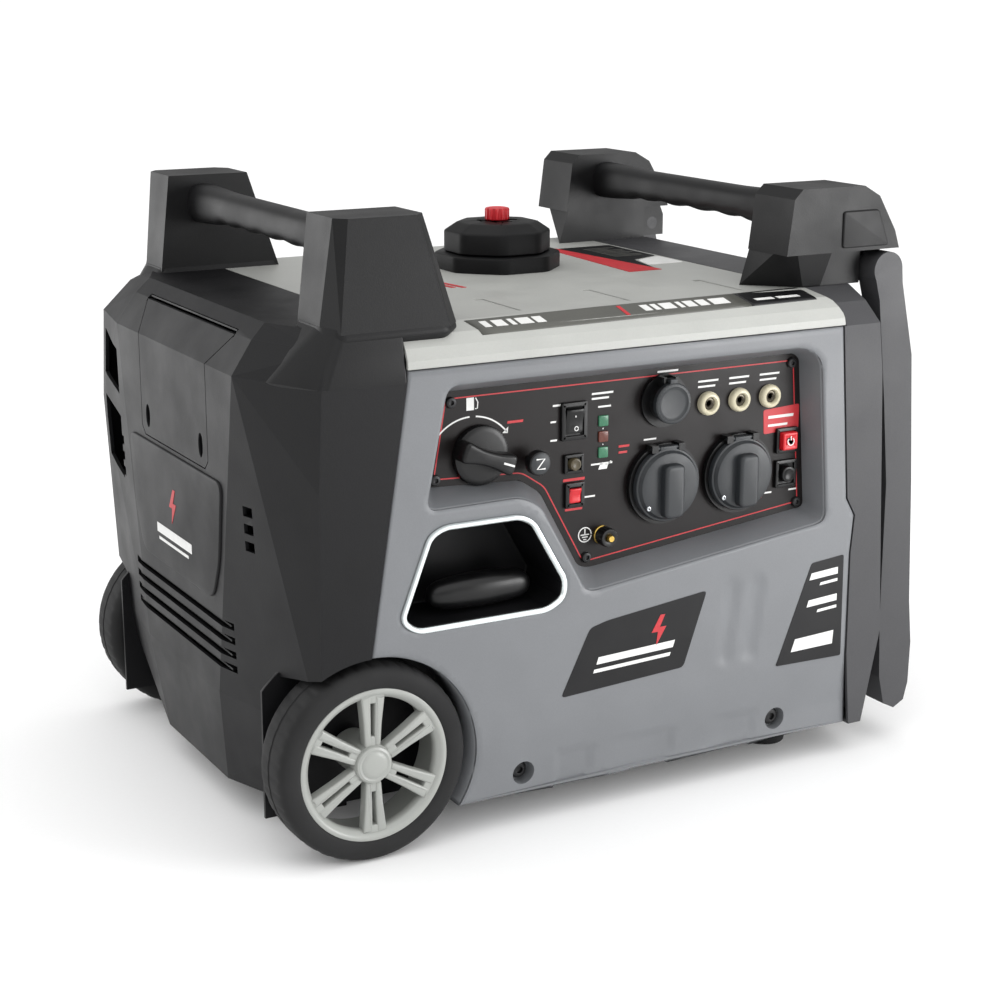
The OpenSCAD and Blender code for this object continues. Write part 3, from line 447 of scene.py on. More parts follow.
def material(name):
    mat = bpy.data.materials.get(name)
    if mat is None:
        mat = bpy.data.materials.new(name)
        mat.use_nodes = True
        grained(mat, **FINISHES[name])
    return mat


# ---------- outlines shared with the CAD part, in mm ----------

SEAM_LEFT = [(-196, 386), (-231, 160), (-231, 28)]
SEAM_RIGHT = [(209, 386), (220, 236), (229, 220), (226, 186), (226.5, 94), (232, 28)]
RECESS = [(-163, 371), (-182, 276), (-99, 277), (-81, 267), (-40, 193), (-31, 191), (199, 218), (188, 360),
          (171, 371)]
PLATE = [(-158, 362), (-171, 288), (-88, 284), (-70, 272), (-34, 206), (-24, 203), (192, 227), (182, 357),
         (176, 362)]
POCKET = [(-180, 256), (-168, 262), (-102, 262), (-90, 256), (-60, 204), (-62, 190), (-76, 182), (-192, 182),
          (-205, 192)]
HUB = (-230, 80)
PLATE_SCREWS = [(-149, 353), (-163, 293), (-26, 212), (184, 232), (174, 354)]
SKIRT_SCREWS = [(-96, 46), (155, 46)]
KNOB, CHOKE, ECO, RESET, PARALLEL = (-124, 309), (-79, 300), (-39, 327), (-39, 292), (-38, 266)
LAMPS = [(-11, 324), (-11, 311), (-11, 298)]
GROUND, DC = (-11, 229), (46, 335)
JACKS = [(90, 328), (121, 328), (152, 328)]
OUTLETS = [(46, 266), (120, 266)]
RED, BLACK = (171, 288), (171, 259)


# ---------- side shells ----------

def crease_steps(x, z):
    """How far the side face lies behind its flat plane: the skirt leans in below a slanting crease,
    its lower edge
    has three stepped notches, and two shallow flutes run beside the label."""
    crease = 80 + (x + 77) * 0.092
    lean = 5.0 * np.clip((crease - z) / 55, 0, 1) ** 1.3
    slant = (z - 30) * 0.2
    notch = 1.6 * step(x, -66, -63) * (1 - step(x, -36 + slant, -34 + slant)) * (1 - step(z, 58, 60))
    notch += 1.4 * step(x, -20, 20) * (1 - step(x, 44 + slant, 46 + slant)) * (1 - step(z, 57, 59))
    notch += 1.4 * step(x, 80, 110) * (1 - step(x, 128 + slant, 130 + slant)) * (1 - step(z, 57, 59))
    tilt = (z - 110) * 0.13
    flute = 1.5 * step(x, 88 + tilt, 92 + tilt) * (1 - step(x, 99 + tilt, 104 + tilt))
    flute += 1.5 * step(x, 112 + tilt, 116 + tilt) * (1 - step(x, 124 + tilt, 130 + tilt))
    return lean + notch + flute * step(z, 104, 114) * (1 - step(z, 172, 184))


def edge_distance(x, z, loops):
    """Distance from each point to the nearest edge of the loops."""
    p = np.stack([x, z], -1)[:, None]
    nearest = np.full(len(p), 1e9)
    for loop in loops:
        a, b = loop[None], np.roll(loop, -1, 0)[None]
        t = np.clip(((p - a) * (b - a)).sum(-1) / np.maximum(((b - a) ** 2).sum(-1), 1e-9), 0, 1)[..., None]
        nearest = np.minimum(nearest, np.sqrt(((p - a - t * (b - a)) ** 2).sum(-1)).min(1))
    return nearest


def side_shell(rear):
    """A sheet trimmed to the seams and the openings, whose edges roll inwards on a quarter circle;
    from each opening
    a wall of the same outline, lofted to the next outline, runs inwards."""
    roll = 2.4
    floor_z = 28.0
    t = np.linspace(math.asin((floor_z - 76) / 90), math.pi / 2, 44)
    arch = np.stack([HUB[0] + 90 * np.cos(t), 76 + 90 * np.sin(t)], 1)
    rim = np.concatenate([arch, [SEAM_LEFT[0]], SEAM_RIGHT])
    wells = [disc(10, 28, (x, z + 0.0)) for x, z in SKIRT_SCREWS]
    if rear:
        openings = [np.array([(-151, 70.5), (-9, 70.5), (-9, 197), (-151, 197)], float)]
        slots = [soften([(50, z), (170, z), (170, z + 7), (50, z + 7)], 3.4, 3) for z in range(90, 190, 15)]
    else:
        openings = [soften(RECESS, 10), soften(grown(POCKET, 1.0), 12)]
        slots = []
    loops = [rim] + openings

    def depth(x, z):
        gap = edge_distance(x, z, loops)
        curl = roll - np.sqrt(np.maximum(roll ** 2 - np.maximum(roll - gap, 0) ** 2, 0))
        return crease_steps(x, z) * (0.5 if rear else 1.0) + curl

    guides = [grown(rim, -d) for d in (0.5, 2.4)] + [grown(o, d) for o in openings for d in (0.5, 2.4)]
    sheet, faces = trimmed(rim, openings + wells + slots, 4.0, depth, guides)
    parts = [(np.column_stack([sheet[:, 0], FRONT_Y + sheet[:, 2], sheet[:, 1]]), faces)]

    def wall(rows):
        grid = np.stack([np.column_stack([o[:, 0], FRONT_Y + d + 0 * o[:, 0], o[:, 1]]) for o, d in rows])
        parts.append(skin(grid, caps=False))

    inward = np.where(np.arange(len(rim)) < len(arch), 47.0, 14.0)
    wall([(rim, depth(*rim.T)), (rim, inward)])
    for well in wells:
        centre = well.mean(0)
        wall([(well, depth(*well.T)), (centre + (well - centre) * 0.94, 13.8),
              (centre + (well - centre) * 0.5, 13.9)])
    for slot in slots:
        wall([(slot, depth(*slot.T)), (slot, 8.0)])
    if rear:
        wall([(openings[0], depth(*openings[0].T)), (openings[0], 8.0)])
    else:
        plate = soften(PLATE, 5)
        wall([(openings[0], depth(*openings[0].T)), (0.93 * openings[0] + 0.07 * plate, 4.5), (plate, 24.6),
              (plate, 27.0)])
        wall([(openings[1], depth(*openings[1].T)), (openings[1], 6.0)])
    return [mirrored(p) for p in parts] if rear else parts


# ---------- wheels ----------

def wheel_parts(side):
    """Tyre, rim and cap of one wheel, turned about the hub; side is -1 for the front wheel."""
    face = 221.0

    def ring(profile, ripple=None, count=96):
        at = (HUB[0], side * face, HUB[1])
        if ripple is None:
            return revolved(profile, at, count, "y", -side)
        return ringed(profile, at, count, ripple, "y", -side)

    def tread(angle, height):
        # Blocks: 40 shallow cuts round the shoulders, none on the side wall.
        cut = 0.5 - 0.5 * np.tanh(6 * (np.cos(40 * angle) - 0.72))
        shoulder = step(height, 3, 8) * (1 - step(height, 36, 41))
        centre = 1 - 0.75 * np.exp(-((height - 22) / 7) ** 2)
        return 1 - 0.012 * (1 - cut) * shoulder * centre

    tyre = ring([(61.5, 5), (61.8, 2.4), (63, 1.2), (66, 0.3), (70, 0.1), (74, 0.6), (76.4, 1.8), (78.4, 4),
                 (79.4, 7),
                 (79.8, 11), (80, 15), (80, 20), (79.2, 20.6), (79.2, 23.4), (80, 24), (80, 29), (79.8, 33),
                 (79.4, 37),
                 (78.4, 40), (76.4, 42.2), (74, 43.4), (70, 43.9), (66, 43.7), (62, 41), (61.5, 30),
                 (61.5, 12)],
                tread, 320)
    lip = ring([(62.6, 6), (62.7, 2.6), (62.0, 1.5), (60.6, 1.1), (59, 1.3), (57.6, 2.2), (56.4, 3.6),
                (55.2, 4.6),
                (54.2, 6.6), (54.0, 10), (54.6, 13), (57, 14.2), (58.4, 16), (58.4, 41.5), (62.4, 41.5),
                (62.4, 20)])
    hub = ring([(8.2, 8), (8.2, 5.2), (12, 4.6), (15.6, 4.8), (16, 6), (16, 45.8), (8.2, 45.8), (8.2, 20)])
    rim = [hoop(lip, 16), hoop(hub, 8)]
    for k in range(6):
        turn = math.radians(60 * k + 30)
        c, s = math.cos(turn), math.sin(turn)

        def place(u, v, h, c=c, s=s):
            y = side * (face - 8.2 + 1.4 * step(u, 20, 54) + h)
            return np.stack([HUB[0] + u * c + v * s, y + 0 * u, HUB[1] - u * s + v * c], -1)

        for sign in (1, -1):
            bar = np.array([(15, 1.5), (34, 1.6), (56, 2.0), (56, 10.2), (34, 7.8), (15, 6.6)]) * [1, sign]
            rim.append(pillow(soften(bar[::sign], 1.2, 2), 4.2, 1.6, place, -5.0))
        for land in ([(14, -6.4), (23, -6.9), (23, 6.9), (14, 6.4)],
                     [(50, -9.4), (57, -10.4), (57, 10.4), (50, 9.4)]):
            rim.append(pillow(soften(land, 1.2, 2), 3.6, 1.2, place, -5.0))
    cap = ring([(15.2, 6), (15.2, 3.4), (14.4, 2.2), (12.6, 1.5), (11.6, 1.9), (10.8, 1.9), (10, 1.3),
                (7, 0.8),
                (3, 0.6), (0.01, 0.6)], count=64)
    return tyre, rim, cap


# ---------- printed marks ----------

def stroke(points, width):
    """Closed outline of a line of that width: each point is moved to both sides along the line's normal."""
    p = np.asarray(points, float)
    ahead = unit(np.gradient(p, axis=0))
    normal = np.stack([-ahead[:, 1], ahead[:, 0]], 1) * width / 2
    return np.concatenate([p + normal, (p - normal)[::-1]])


def printed(outlines, y, thick=0.25):
    """Flat ink or film: each outline raised by its thickness from a plane that faces -Y."""
    return [stacked(np.asarray(o, float), [(0, -0.1), (0, thick)], on_front(y)) for o in outlines]


def bars(x, z, widths, height, pitch, lean=0.0):
    """Rows of plain bars, one above another, each a slanted rectangle."""
    return [[(x + lean * i, z - i * pitch), (x + w + lean * i, z - i * pitch),
             (x + w + lean * i + height * 0.15, z - i * pitch + height), (x + lean * i + height * 0.15,
                                                                      z - i * pitch + height)]
            for i, w in enumerate(widths)]


def arc(centre, radius, start, end, count=24):
    a = np.radians(np.linspace(start, end, count))
    return np.stack([centre[0] + radius * np.cos(a), centre[1] + radius * np.sin(a)], 1)


def bolt(x, z, size):
    """A plain lightning flash, the common sign for electricity."""
    shape = np.array([(0.1, 1.0), (-0.55, -0.1), (-0.08, -0.1), (-0.2, -1.0), (0.55, 0.2), (0.06, 0.2),
                      (0.45, 1.0)])
    return shape * size + [x, z]


# ---------- small controls ----------

def turned(profile, at, y, count=48):
    """A turned shape whose height counts outwards from a plane facing -Y."""
    return revolved(profile, (at[0], y, at[1]), count, "y", -1)


def screw_head(at, y, radius):
    """A pan head: a low dome with a round recess in its middle."""
    r = radius
    return turned([(r, -0.6), (r, r * 0.3), (r * 0.86, r * 0.52), (r * 0.5, r * 0.64), (r * 0.42, r * 0.62),
                   (r * 0.36, r * 0.28), (0.01, r * 0.24)], at, y, 28)


def frame_block(at, half_w, half_h, y, height, inner):
    """A square frame with a sunk middle: outline, rounded edge, then the inner outline and its floor."""
    x, z = at
    o = soften([(x - half_w, z - half_h), (x + half_w, z - half_h), (x + half_w, z + half_h),
                (x - half_w, z + half_h)],
               1.6, 3)
    place = on_front(y)
    levels = [(0, -0.5), (0, height - 0.8), (-0.3, height - 0.2), (-0.9, height), (-inner, height),
              (-inner - 0.2, height - 2.2), (-inner - 0.8, height - 2.4)]
    return stacked(o, levels, place)


def rocker(at, half_w, half_h, tilt=-8):
    """A rocker cap: its face is a shallow valley across its height, with round edges."""
    u = np.linspace(-1, 1, 9)
    v = np.linspace(-1, 1, 21)
    uu, vv = np.meshgrid(u, v)
    face = 7.4 + 1.3 * np.abs(vv) ** 1.6 - 0.9 * (np.abs(uu) ** 6) - 0.9 * np.abs(vv) ** 10
    x, z = at[0] + uu * half_w, vv * half_h
    a = math.radians(tilt)
    h, z = face * math.cos(a) - z * math.sin(a), z * math.cos(a) + face * math.sin(a) * 0.2
    top = np.stack([x, PLATE_Y + 4 - h, at[1] + z], -1)
    base = np.stack([x, np.full_like(x, PLATE_Y + 3.5), at[1] + vv * half_h * 0.9], -1)
    rows, cols = top.shape[:2]
    index = np.arange(rows * cols).reshape(rows, cols)
    loop = np.concatenate([index[0], index[1:, -1], index[-1, -2::-1], index[-2:0:-1, 0]])
    n = rows * cols
    faces = grid_faces(rows, cols, False, False) + [[a + n for a in f[::-1]] for f in grid_faces(rows, cols,
                                                                                                 False,
                                                                                                 False)]
    nxt = np.roll(loop, -1)
    faces += np.stack([loop, nxt, nxt + n, loop + n], 1).tolist()
    return np.concatenate([top.reshape(-1, 3), base.reshape(-1, 3)]), faces


# ---------- add-on ----------

class GeneratorSizes(bpy.types.PropertyGroup):
    """Sizes and colours that a user would change."""
    shell_edge: bpy.props.FloatProperty(name="Shell edge",
                                        description="Rounding of the moulded shells' edges",
                                        default=1.6 * MM, min=0.0, unit="LENGTH")
    tower_edge: bpy.props.FloatProperty(name="Tower edge", description="Rounding of the handle towers' edges",
                                        default=3.5 * MM, min=0.0, unit="LENGTH")
    arm_edge: bpy.props.FloatProperty(name="Tow arm edge", description="Rounding of the tow handle's edges",
                                      default=4.5 * MM, min=0.0, unit="LENGTH")
    air: bpy.props.FloatVectorProperty(name="Studio air", description="Colour of the light from all round",
                                       default=(1.0, 1.0, 1.0), size=3, subtype="COLOR", min=0, max=1)


def sizes():
    return bpy.context.scene.generator_sizes


class GENERATOR_OT_side_shells(bpy.types.Operator):
    """Front and rear side shells, with the panel recess, wheel arches and screw wells"""
    bl_idname = "generator.side_shells"
    bl_label = "Side shells"

    def execute(self, context):
        piece("front_case", side_shell(False), "Moulded ABS, mid grey", "root", ["front_shell"],
              outward=(0, -1, 0), thickness=2.6, crease=40)
        piece("rear_case", side_shell(True), "Moulded ABS, mid grey", "root", ["rear_shell"],
              outward=(0, 1, 0), thickness=2.6, crease=40)
        dress("service_door", "Moulded ABS, door grey", 1.2)
        screws = [screw_head(p, PLATE_Y, 4.5) for p in PLATE_SCREWS]
        for x, z in SKIRT_SCREWS:
            head = screw_head((x, z), FRONT_Y + 14, 7.5)
            screws += [head, mirrored(head)]
        piece("case_screws", screws, "Black oxide steel", "root", ["screws"])
        return {"FINISHED"}


class GENERATOR_OT_end_shells(bpy.types.Operator):
    """Black end shells, the hatch, and the raised shield on the left end"""
    bl_idname = "generator.end_shells"
    bl_label = "End shells"

    def execute(self, context):
        edge = sizes().shell_edge / MM
        dress("left_end_shell", "Textured polypropylene, charcoal", edge)
        # The right end shell takes the lighter copy of the black polypropylene: painted light where the right
        # end is brightly lit.
        dress("right_end_shell", "Textured polypropylene, black with painted light", edge)
        dress("left_hatch", "Textured polypropylene, charcoal", edge)
        shield = soften([(-108, 289), (108, 289), (98, 222), (82, 188), (-82, 188), (-98, 222)], 12)
        piece("end_shield", [pillow(shield, 2.2, 1.6, facing_left(-303.8), -0.5)],
              "Textured polypropylene, charcoal", "root")
        header = [stacked(np.array([(-98, z), (98, z), (98, z + 1.4), (-98, z + 1.4)], float),
                          [(0, -12), (0, -0.6)],
                          facing_left(x)) for z, x in ((404.9, -284.4), (406.3, -282.6))]
        piece("hatch_header", header, "Textured polypropylene, charcoal", "root")
        baffle = [stacked(np.array([(-108, z), (108, z), (108, z + 1.6), (-108, z + 1.6)], float),
                          [(0, -16), (0, -3)], facing_left(-304)) for z in (135.2, 147.2, 159.2, 171.2)]
        piece("grille_blades", baffle, "Textured polypropylene, black", "root")
        return {"FINISHED"}


class GENERATOR_OT_cover(bpy.types.Operator):
    """Light grey top cover with its labels"""
    bl_idname = "generator.cover"
    bl_label = "Top cover"

    def execute(self, context):
        dress("top_cover", "Moulded ABS, light grey", 1.2)

        def front_edge(u, v, h):
            """v runs up the sloped edge; below 0 it bends down a facet, above 17.1 onto the top."""
            low, high = np.minimum(v, 0), np.maximum(v - 17.1, 0)
            mid = v - low - high
            return np.stack([u, -206 + 0.707 * low + 0.936 * mid + high - 0.35 * h,
                             410 + 0.707 * low + 0.351 * mid + 0.936 * h], -1)

        def band(u0, u1, lean=7.0):
            """A stretch of the strip: its height grows to the right and its ends slant."""
            t = np.linspace(0, 1, 24)[None]
            v = np.array([0.0, 0.12, 0.27, 0.31, 0.6, 0.9, 0.94, 1.0])[:, None]
            u = u0 + (u1 - u0) * t + lean * (0.5 - v)
            share = (u + 136) / 320
            return skin(front_edge(u, (1 - v) * (-5.5 + 3.5 * share) + v * (14.5 + 7 * share), 0.3),
                        wrap_cols=False, caps=False)

        piece("cover_label", [band(-133, 118)], "Vinyl label, grey", "root", outward=(0, -1, 1),
              thickness=0.3)
        piece("cover_label_end", [band(118, 184)], "Vinyl label, black", "root",
              outward=(0, -1, 1),
              thickness=0.3)

        def mark(x, width, low, high):
            return np.array([(x, low), (x + width, low), (x + width - 2, high), (x - 2, high)], float)

        marks = [mark(x, w, 2, 11) for x, w in ((-124, 6), (-114, 10), (-100, 4), (-93, 12), (-78, 8))]
        marks += [mark(x, w, 4, 13) for x, w in ((22, 7), (32, 5), (40, 12), (56, 4), (63, 9), (75, 9),
                                                 (88, 16))]
        marks += [mark(x, w, 4, 7) for x, w in ((130, 18), (152, 22))]
        piece("cover_label_marks", [stacked(m, [(0, 0), (0, 0.55)], front_edge) for m in marks],
              "Screen print, white", "root")
        piece("cover_label_slash", [stacked(mark(2, 3.5, 0.6, 15), [(0, 0), (0, 0.55)], front_edge)],
              "Screen print, red", "root")
        top = upward(416)
        sticker = soften([(127, 116), (184, 116), (184, 34), (152, 20), (140, -36), (131, -36)], 3, 3)
        piece("cover_sticker", [stacked(sticker, [(0, -0.1), (0, 0.3)], top)], "Vinyl label, black", "root")
        patch = soften([(154, 16), (184, 30), (184, -14), (146, -14)], 4, 3)
        piece("sticker_patch", [stacked(patch, [(0, -0.1), (0, 0.35)], top)], "Screen print, white", "root")
        stripes = [np.array([(117, 118), (126, 118), (141, -43), (107, -43)], float),
                   np.array([(-73, 10), (-70, 10), (-60, -52), (-64, -52)], float),
                   np.array([(-80, 10), (-76, 10), (-68, -48), (-72, -48)], float)]
        piece("cover_stripes", [stacked(s, [(0, -0.1), (0, 0.45)], top) for s in stripes],
              "Screen print, red", "root")
        lines = [np.array([(146, v), (146 + w, v), (146 + w, v + 2.2), (146, v + 2.2)], float)
                 for v, w in ((44, 30), (51, 34), (58, 26), (66, 34), (74, 30), (82, 34), (90, 22), (98, 32))]
        piece("sticker_lines", [stacked(s, [(0, -0.1), (0, 0.45)], top) for s in lines],
              "Vinyl label, grey", "root")
        return {"FINISHED"}


class GENERATOR_OT_handles(bpy.types.Operator):
    """Towers, carry grips and tow handle"""
    bl_idname = "generator.handles"
    bl_label = "Handles"

    def execute(self, context):
        dress("handle_towers", "Grained nylon, handle black", sizes().tower_edge / MM, 3)
        # The tow arm takes the lighter copy of the black polypropylene: painted light where the right end is
        # brightly lit.
        dress("tow_handle", "Textured polypropylene, black with painted light", sizes().arm_edge / MM, 3)
        dress("tow_pivots", "Black oxide steel", 0.8)
        for name, x0 in (("left_carry_grip", -214.0), ("right_carry_grip", 202.0)):
            piece(name, [self.grip(x0)], "Grained nylon, handle black", "root",
                  ["carry_grips"] if x0 < 0 else [])
        foot = soften([(-256, -190), (-248, -211), (-160, -211), (-146, -196), (-146, -150), (-256, -150)], 5)
        levels = [(0, 4), (0.4, 2), (1.6, -1), (2.0, -3.5), (1.2, -5.5), (-2.5, -10), (-9, -17)]
        skirt = stacked(foot, levels, upward(416))
        fairing = [(420, [(-255, -188), (-247, -211), (-198, -211), (-197, -208), (-197, -150),
                          (-255, -150)]),
                   (402, [(-272, -180), (-256, -213.6), (-198, -213.6), (-196.6, -211), (-196.6, -150),
                          (-272, -150)]),
                   (378, [(-290, -168), (-267, -218.4), (-198, -218.4), (-196.4, -216), (-196.4, -150),
                          (-290, -150)]),
                   (370, [(-286, -168), (-266, -215), (-202, -215), (-200, -213), (-200, -150),
                          (-286, -150)])]
        flank = skin(np.stack([upward(z)(*soften(o, 6, 6).T, 0) for z, o in fairing]))
        panel = soften([(213, 449), (262, 449), (250, 480), (213, 480)], 3, 3)
        plate = pillow(panel, 1.6, 1.4, on_front(-205), -0.4)
        piece("tower_skirts", [skirt, mirrored(skirt), flank, mirrored(flank), plate, mirrored(plate)],
              "Grained nylon, handle black", "root")
        return {"FINISHED"}

    @staticmethod
    def grip(x0):
        """A bar along Y: its section is a squarish oval, waisted in the middle, with four finger dips
        below."""
        y = np.linspace(-152, 152, 97)[:, None]
        a = np.linspace(0, 2 * np.pi, 40, endpoint=False)[None]
        waist = 1 - step(np.abs(y), 70, 150)
        cosine, sine = np.cos(a), np.sin(a)
        round_c = np.sign(cosine) * np.abs(cosine) ** 0.75
        round_s = np.sign(sine) * np.abs(sine) ** 0.75
        dips = 1.8 * (0.5 + 0.5 * np.cos(2 * np.pi * y / 44)) * (1 - step(np.abs(y), 80, 100))
        half_h = 17 - 3.2 * waist
        x = x0 + (15 - 1.8 * waist) * round_c + 0 * y
        z = 475 + 1.2 * waist + half_h * round_s + dips * np.clip(-sine, 0, 1)
        return skin(np.stack([x, y + 0 * a, z], -1))


class GENERATOR_OT_wheels(bpy.types.Operator):
    """Two wheels with tyres, six double spokes and caps, and the axle"""
    bl_idname = "generator.wheels"
    bl_label = "Wheels"

    def execute(self, context):
        for side, word in ((-1, "front"), (1, "rear")):
            tyre, rim, cap = wheel_parts(side)
            body = word + "_wheel"
            piece(word + "_wheel_tyre", [hoop(tyre, 26)], "Cured rubber, tyre", body,
                  [word + "_tyre"])
            piece(word + "_wheel_rim", rim, "Painted ABS, wheel silver", body, [word + "_rim"])
            piece(word + "_wheel_cap", [cap], "Painted ABS, wheel silver", body,
                  [word + "_hub_cap"])
        dress("axle", "Zinc-plated steel", 0.6)
        feet = [revolved([(17, 0.4), (18, 0), (18.6, 0.6), (19.6, 5), (20, 6.5), (19, 8), (19.4, 12),
                          (20, 14),
                          (20, 31)], (190, y, 0), 48, "z") for y in (-150, 150)]
        piece("moulded_feet", feet, "Cured rubber, feet", "root", ["rubber_feet"])
        return {"FINISHED"}


class GENERATOR_OT_panel(bpy.types.Operator):
    """Control panel plate with its printed scales and signs"""
    bl_idname = "generator.panel"
    bl_label = "Control panel"

    def execute(self, context):
        dress("panel_plate", "Screened polycarbonate film")
        y = PLATE_Y
        border = soften(grown(PLATE, -6), 5)
        ring = np.stack([on_front(y)(*grown(border, g).T, h)
                         for g, h in ((0.5, -0.1), (0.5, 0.2), (-0.5, 0.2), (-0.5, -0.1))])
        red = [skin(ring, wrap_rows=True)]
        red += printed(bars(132, 262, (16, 16), 2.4, 22) + bars(-99, 331, (14,), 2, 5), y)
        red += printed(bars(-48, 277.5, (20,), 2.2, 5) + bars(-46, 253, (16,), 2, 5) + bars(4, 300, (10, 8),
                                                                                            1.8, 5), y)
        red += printed([soften([(147, 316), (184, 318), (184, 297), (148, 295)], 2, 3)], y)
        piece("panel_prints_red", red, "Screen print, red", "root")
        white = printed(self.white_marks(), y)
        white += printed(bars(152, 308, (26,), 2.4, 6) + bars(152, 301, (20,), 2.0, 6), y, 0.5)
        piece("panel_prints_white", white, "Screen print, white", "root")
        return {"FINISHED"}

    @staticmethod
    def white_marks():
        """Fuel pump sign, the dial's scale with arrowheads, text-line bars, the ground sign and the
        lamp links."""
        marks = [stroke(arc((-131, 300), 40, 148, 92), 1.2), stroke(arc((-131, 300), 40, 84, 38), 1.2)]
        for angle, way in ((150, 1), (36, -1)):
            tip = arc((-131, 300), 40, angle, angle + 6 * way, 2)
            side = arc((-131, 300), 43.5, angle - 5 * way, angle - 5 * way + 1, 2)[0]
            low = arc((-131, 300), 36.5, angle - 5 * way, angle - 5 * way + 1, 2)[0]
            marks.append([tip[0], side, low] if way > 0 else [tip[0], low, side])
        marks += [[(-135, 345), (-128.5, 345), (-128.5, 355), (-135, 355)],
                  stroke([(-127.5, 346), (-125.5, 346), (-125, 351), (-127, 354.5)], 0.8)]
        marks += bars(-58, 340, (8,), 1.6, 5) + bars(-60, 312, (6,), 1.4, 5) + bars(-60, 327, (5,), 1.4, 5)
        marks += bars(-22, 346, (20, 16), 1.6, 4) + bars(-16, 335, (12,), 1.4, 4)
        marks += bars(-22, 288, (20,), 1.4, 4) + bars(-30, 262, (12,), 1.4, 4)
        for x, _ in JACKS:
            marks += bars(x - 10, 346, (20, 17), 1.6, 4.5)
        marks += bars(40, 358, (20,), 1.6, 4) + bars(28, 303, (12,), 1.4, 4)
        marks += [stroke(arc((-27, 231), 6, 0, 352), 0.9), stroke([(-27, 236), (-27, 231)], 0.9),
                  stroke([(-31, 231), (-23, 231)], 0.9), stroke([(-29.6, 229), (-24.4, 229)], 0.9),
                  stroke([(-28.4, 227), (-25.6, 227)], 0.9)]
        marks += [stroke([(-11, 318), (-11, 317)], 0.7), stroke([(-11, 305), (-11, 304)], 0.7)]
        marks += [[(-15, 284), (-7, 284), (-6, 287), (-13, 289)], stroke([(-7, 287), (-3, 290)], 0.9)]
        marks += bars(140, 243, (18,), 1.4, 4) + bars(188 - 12, 243, (8,), 1.4, 4)
        return marks


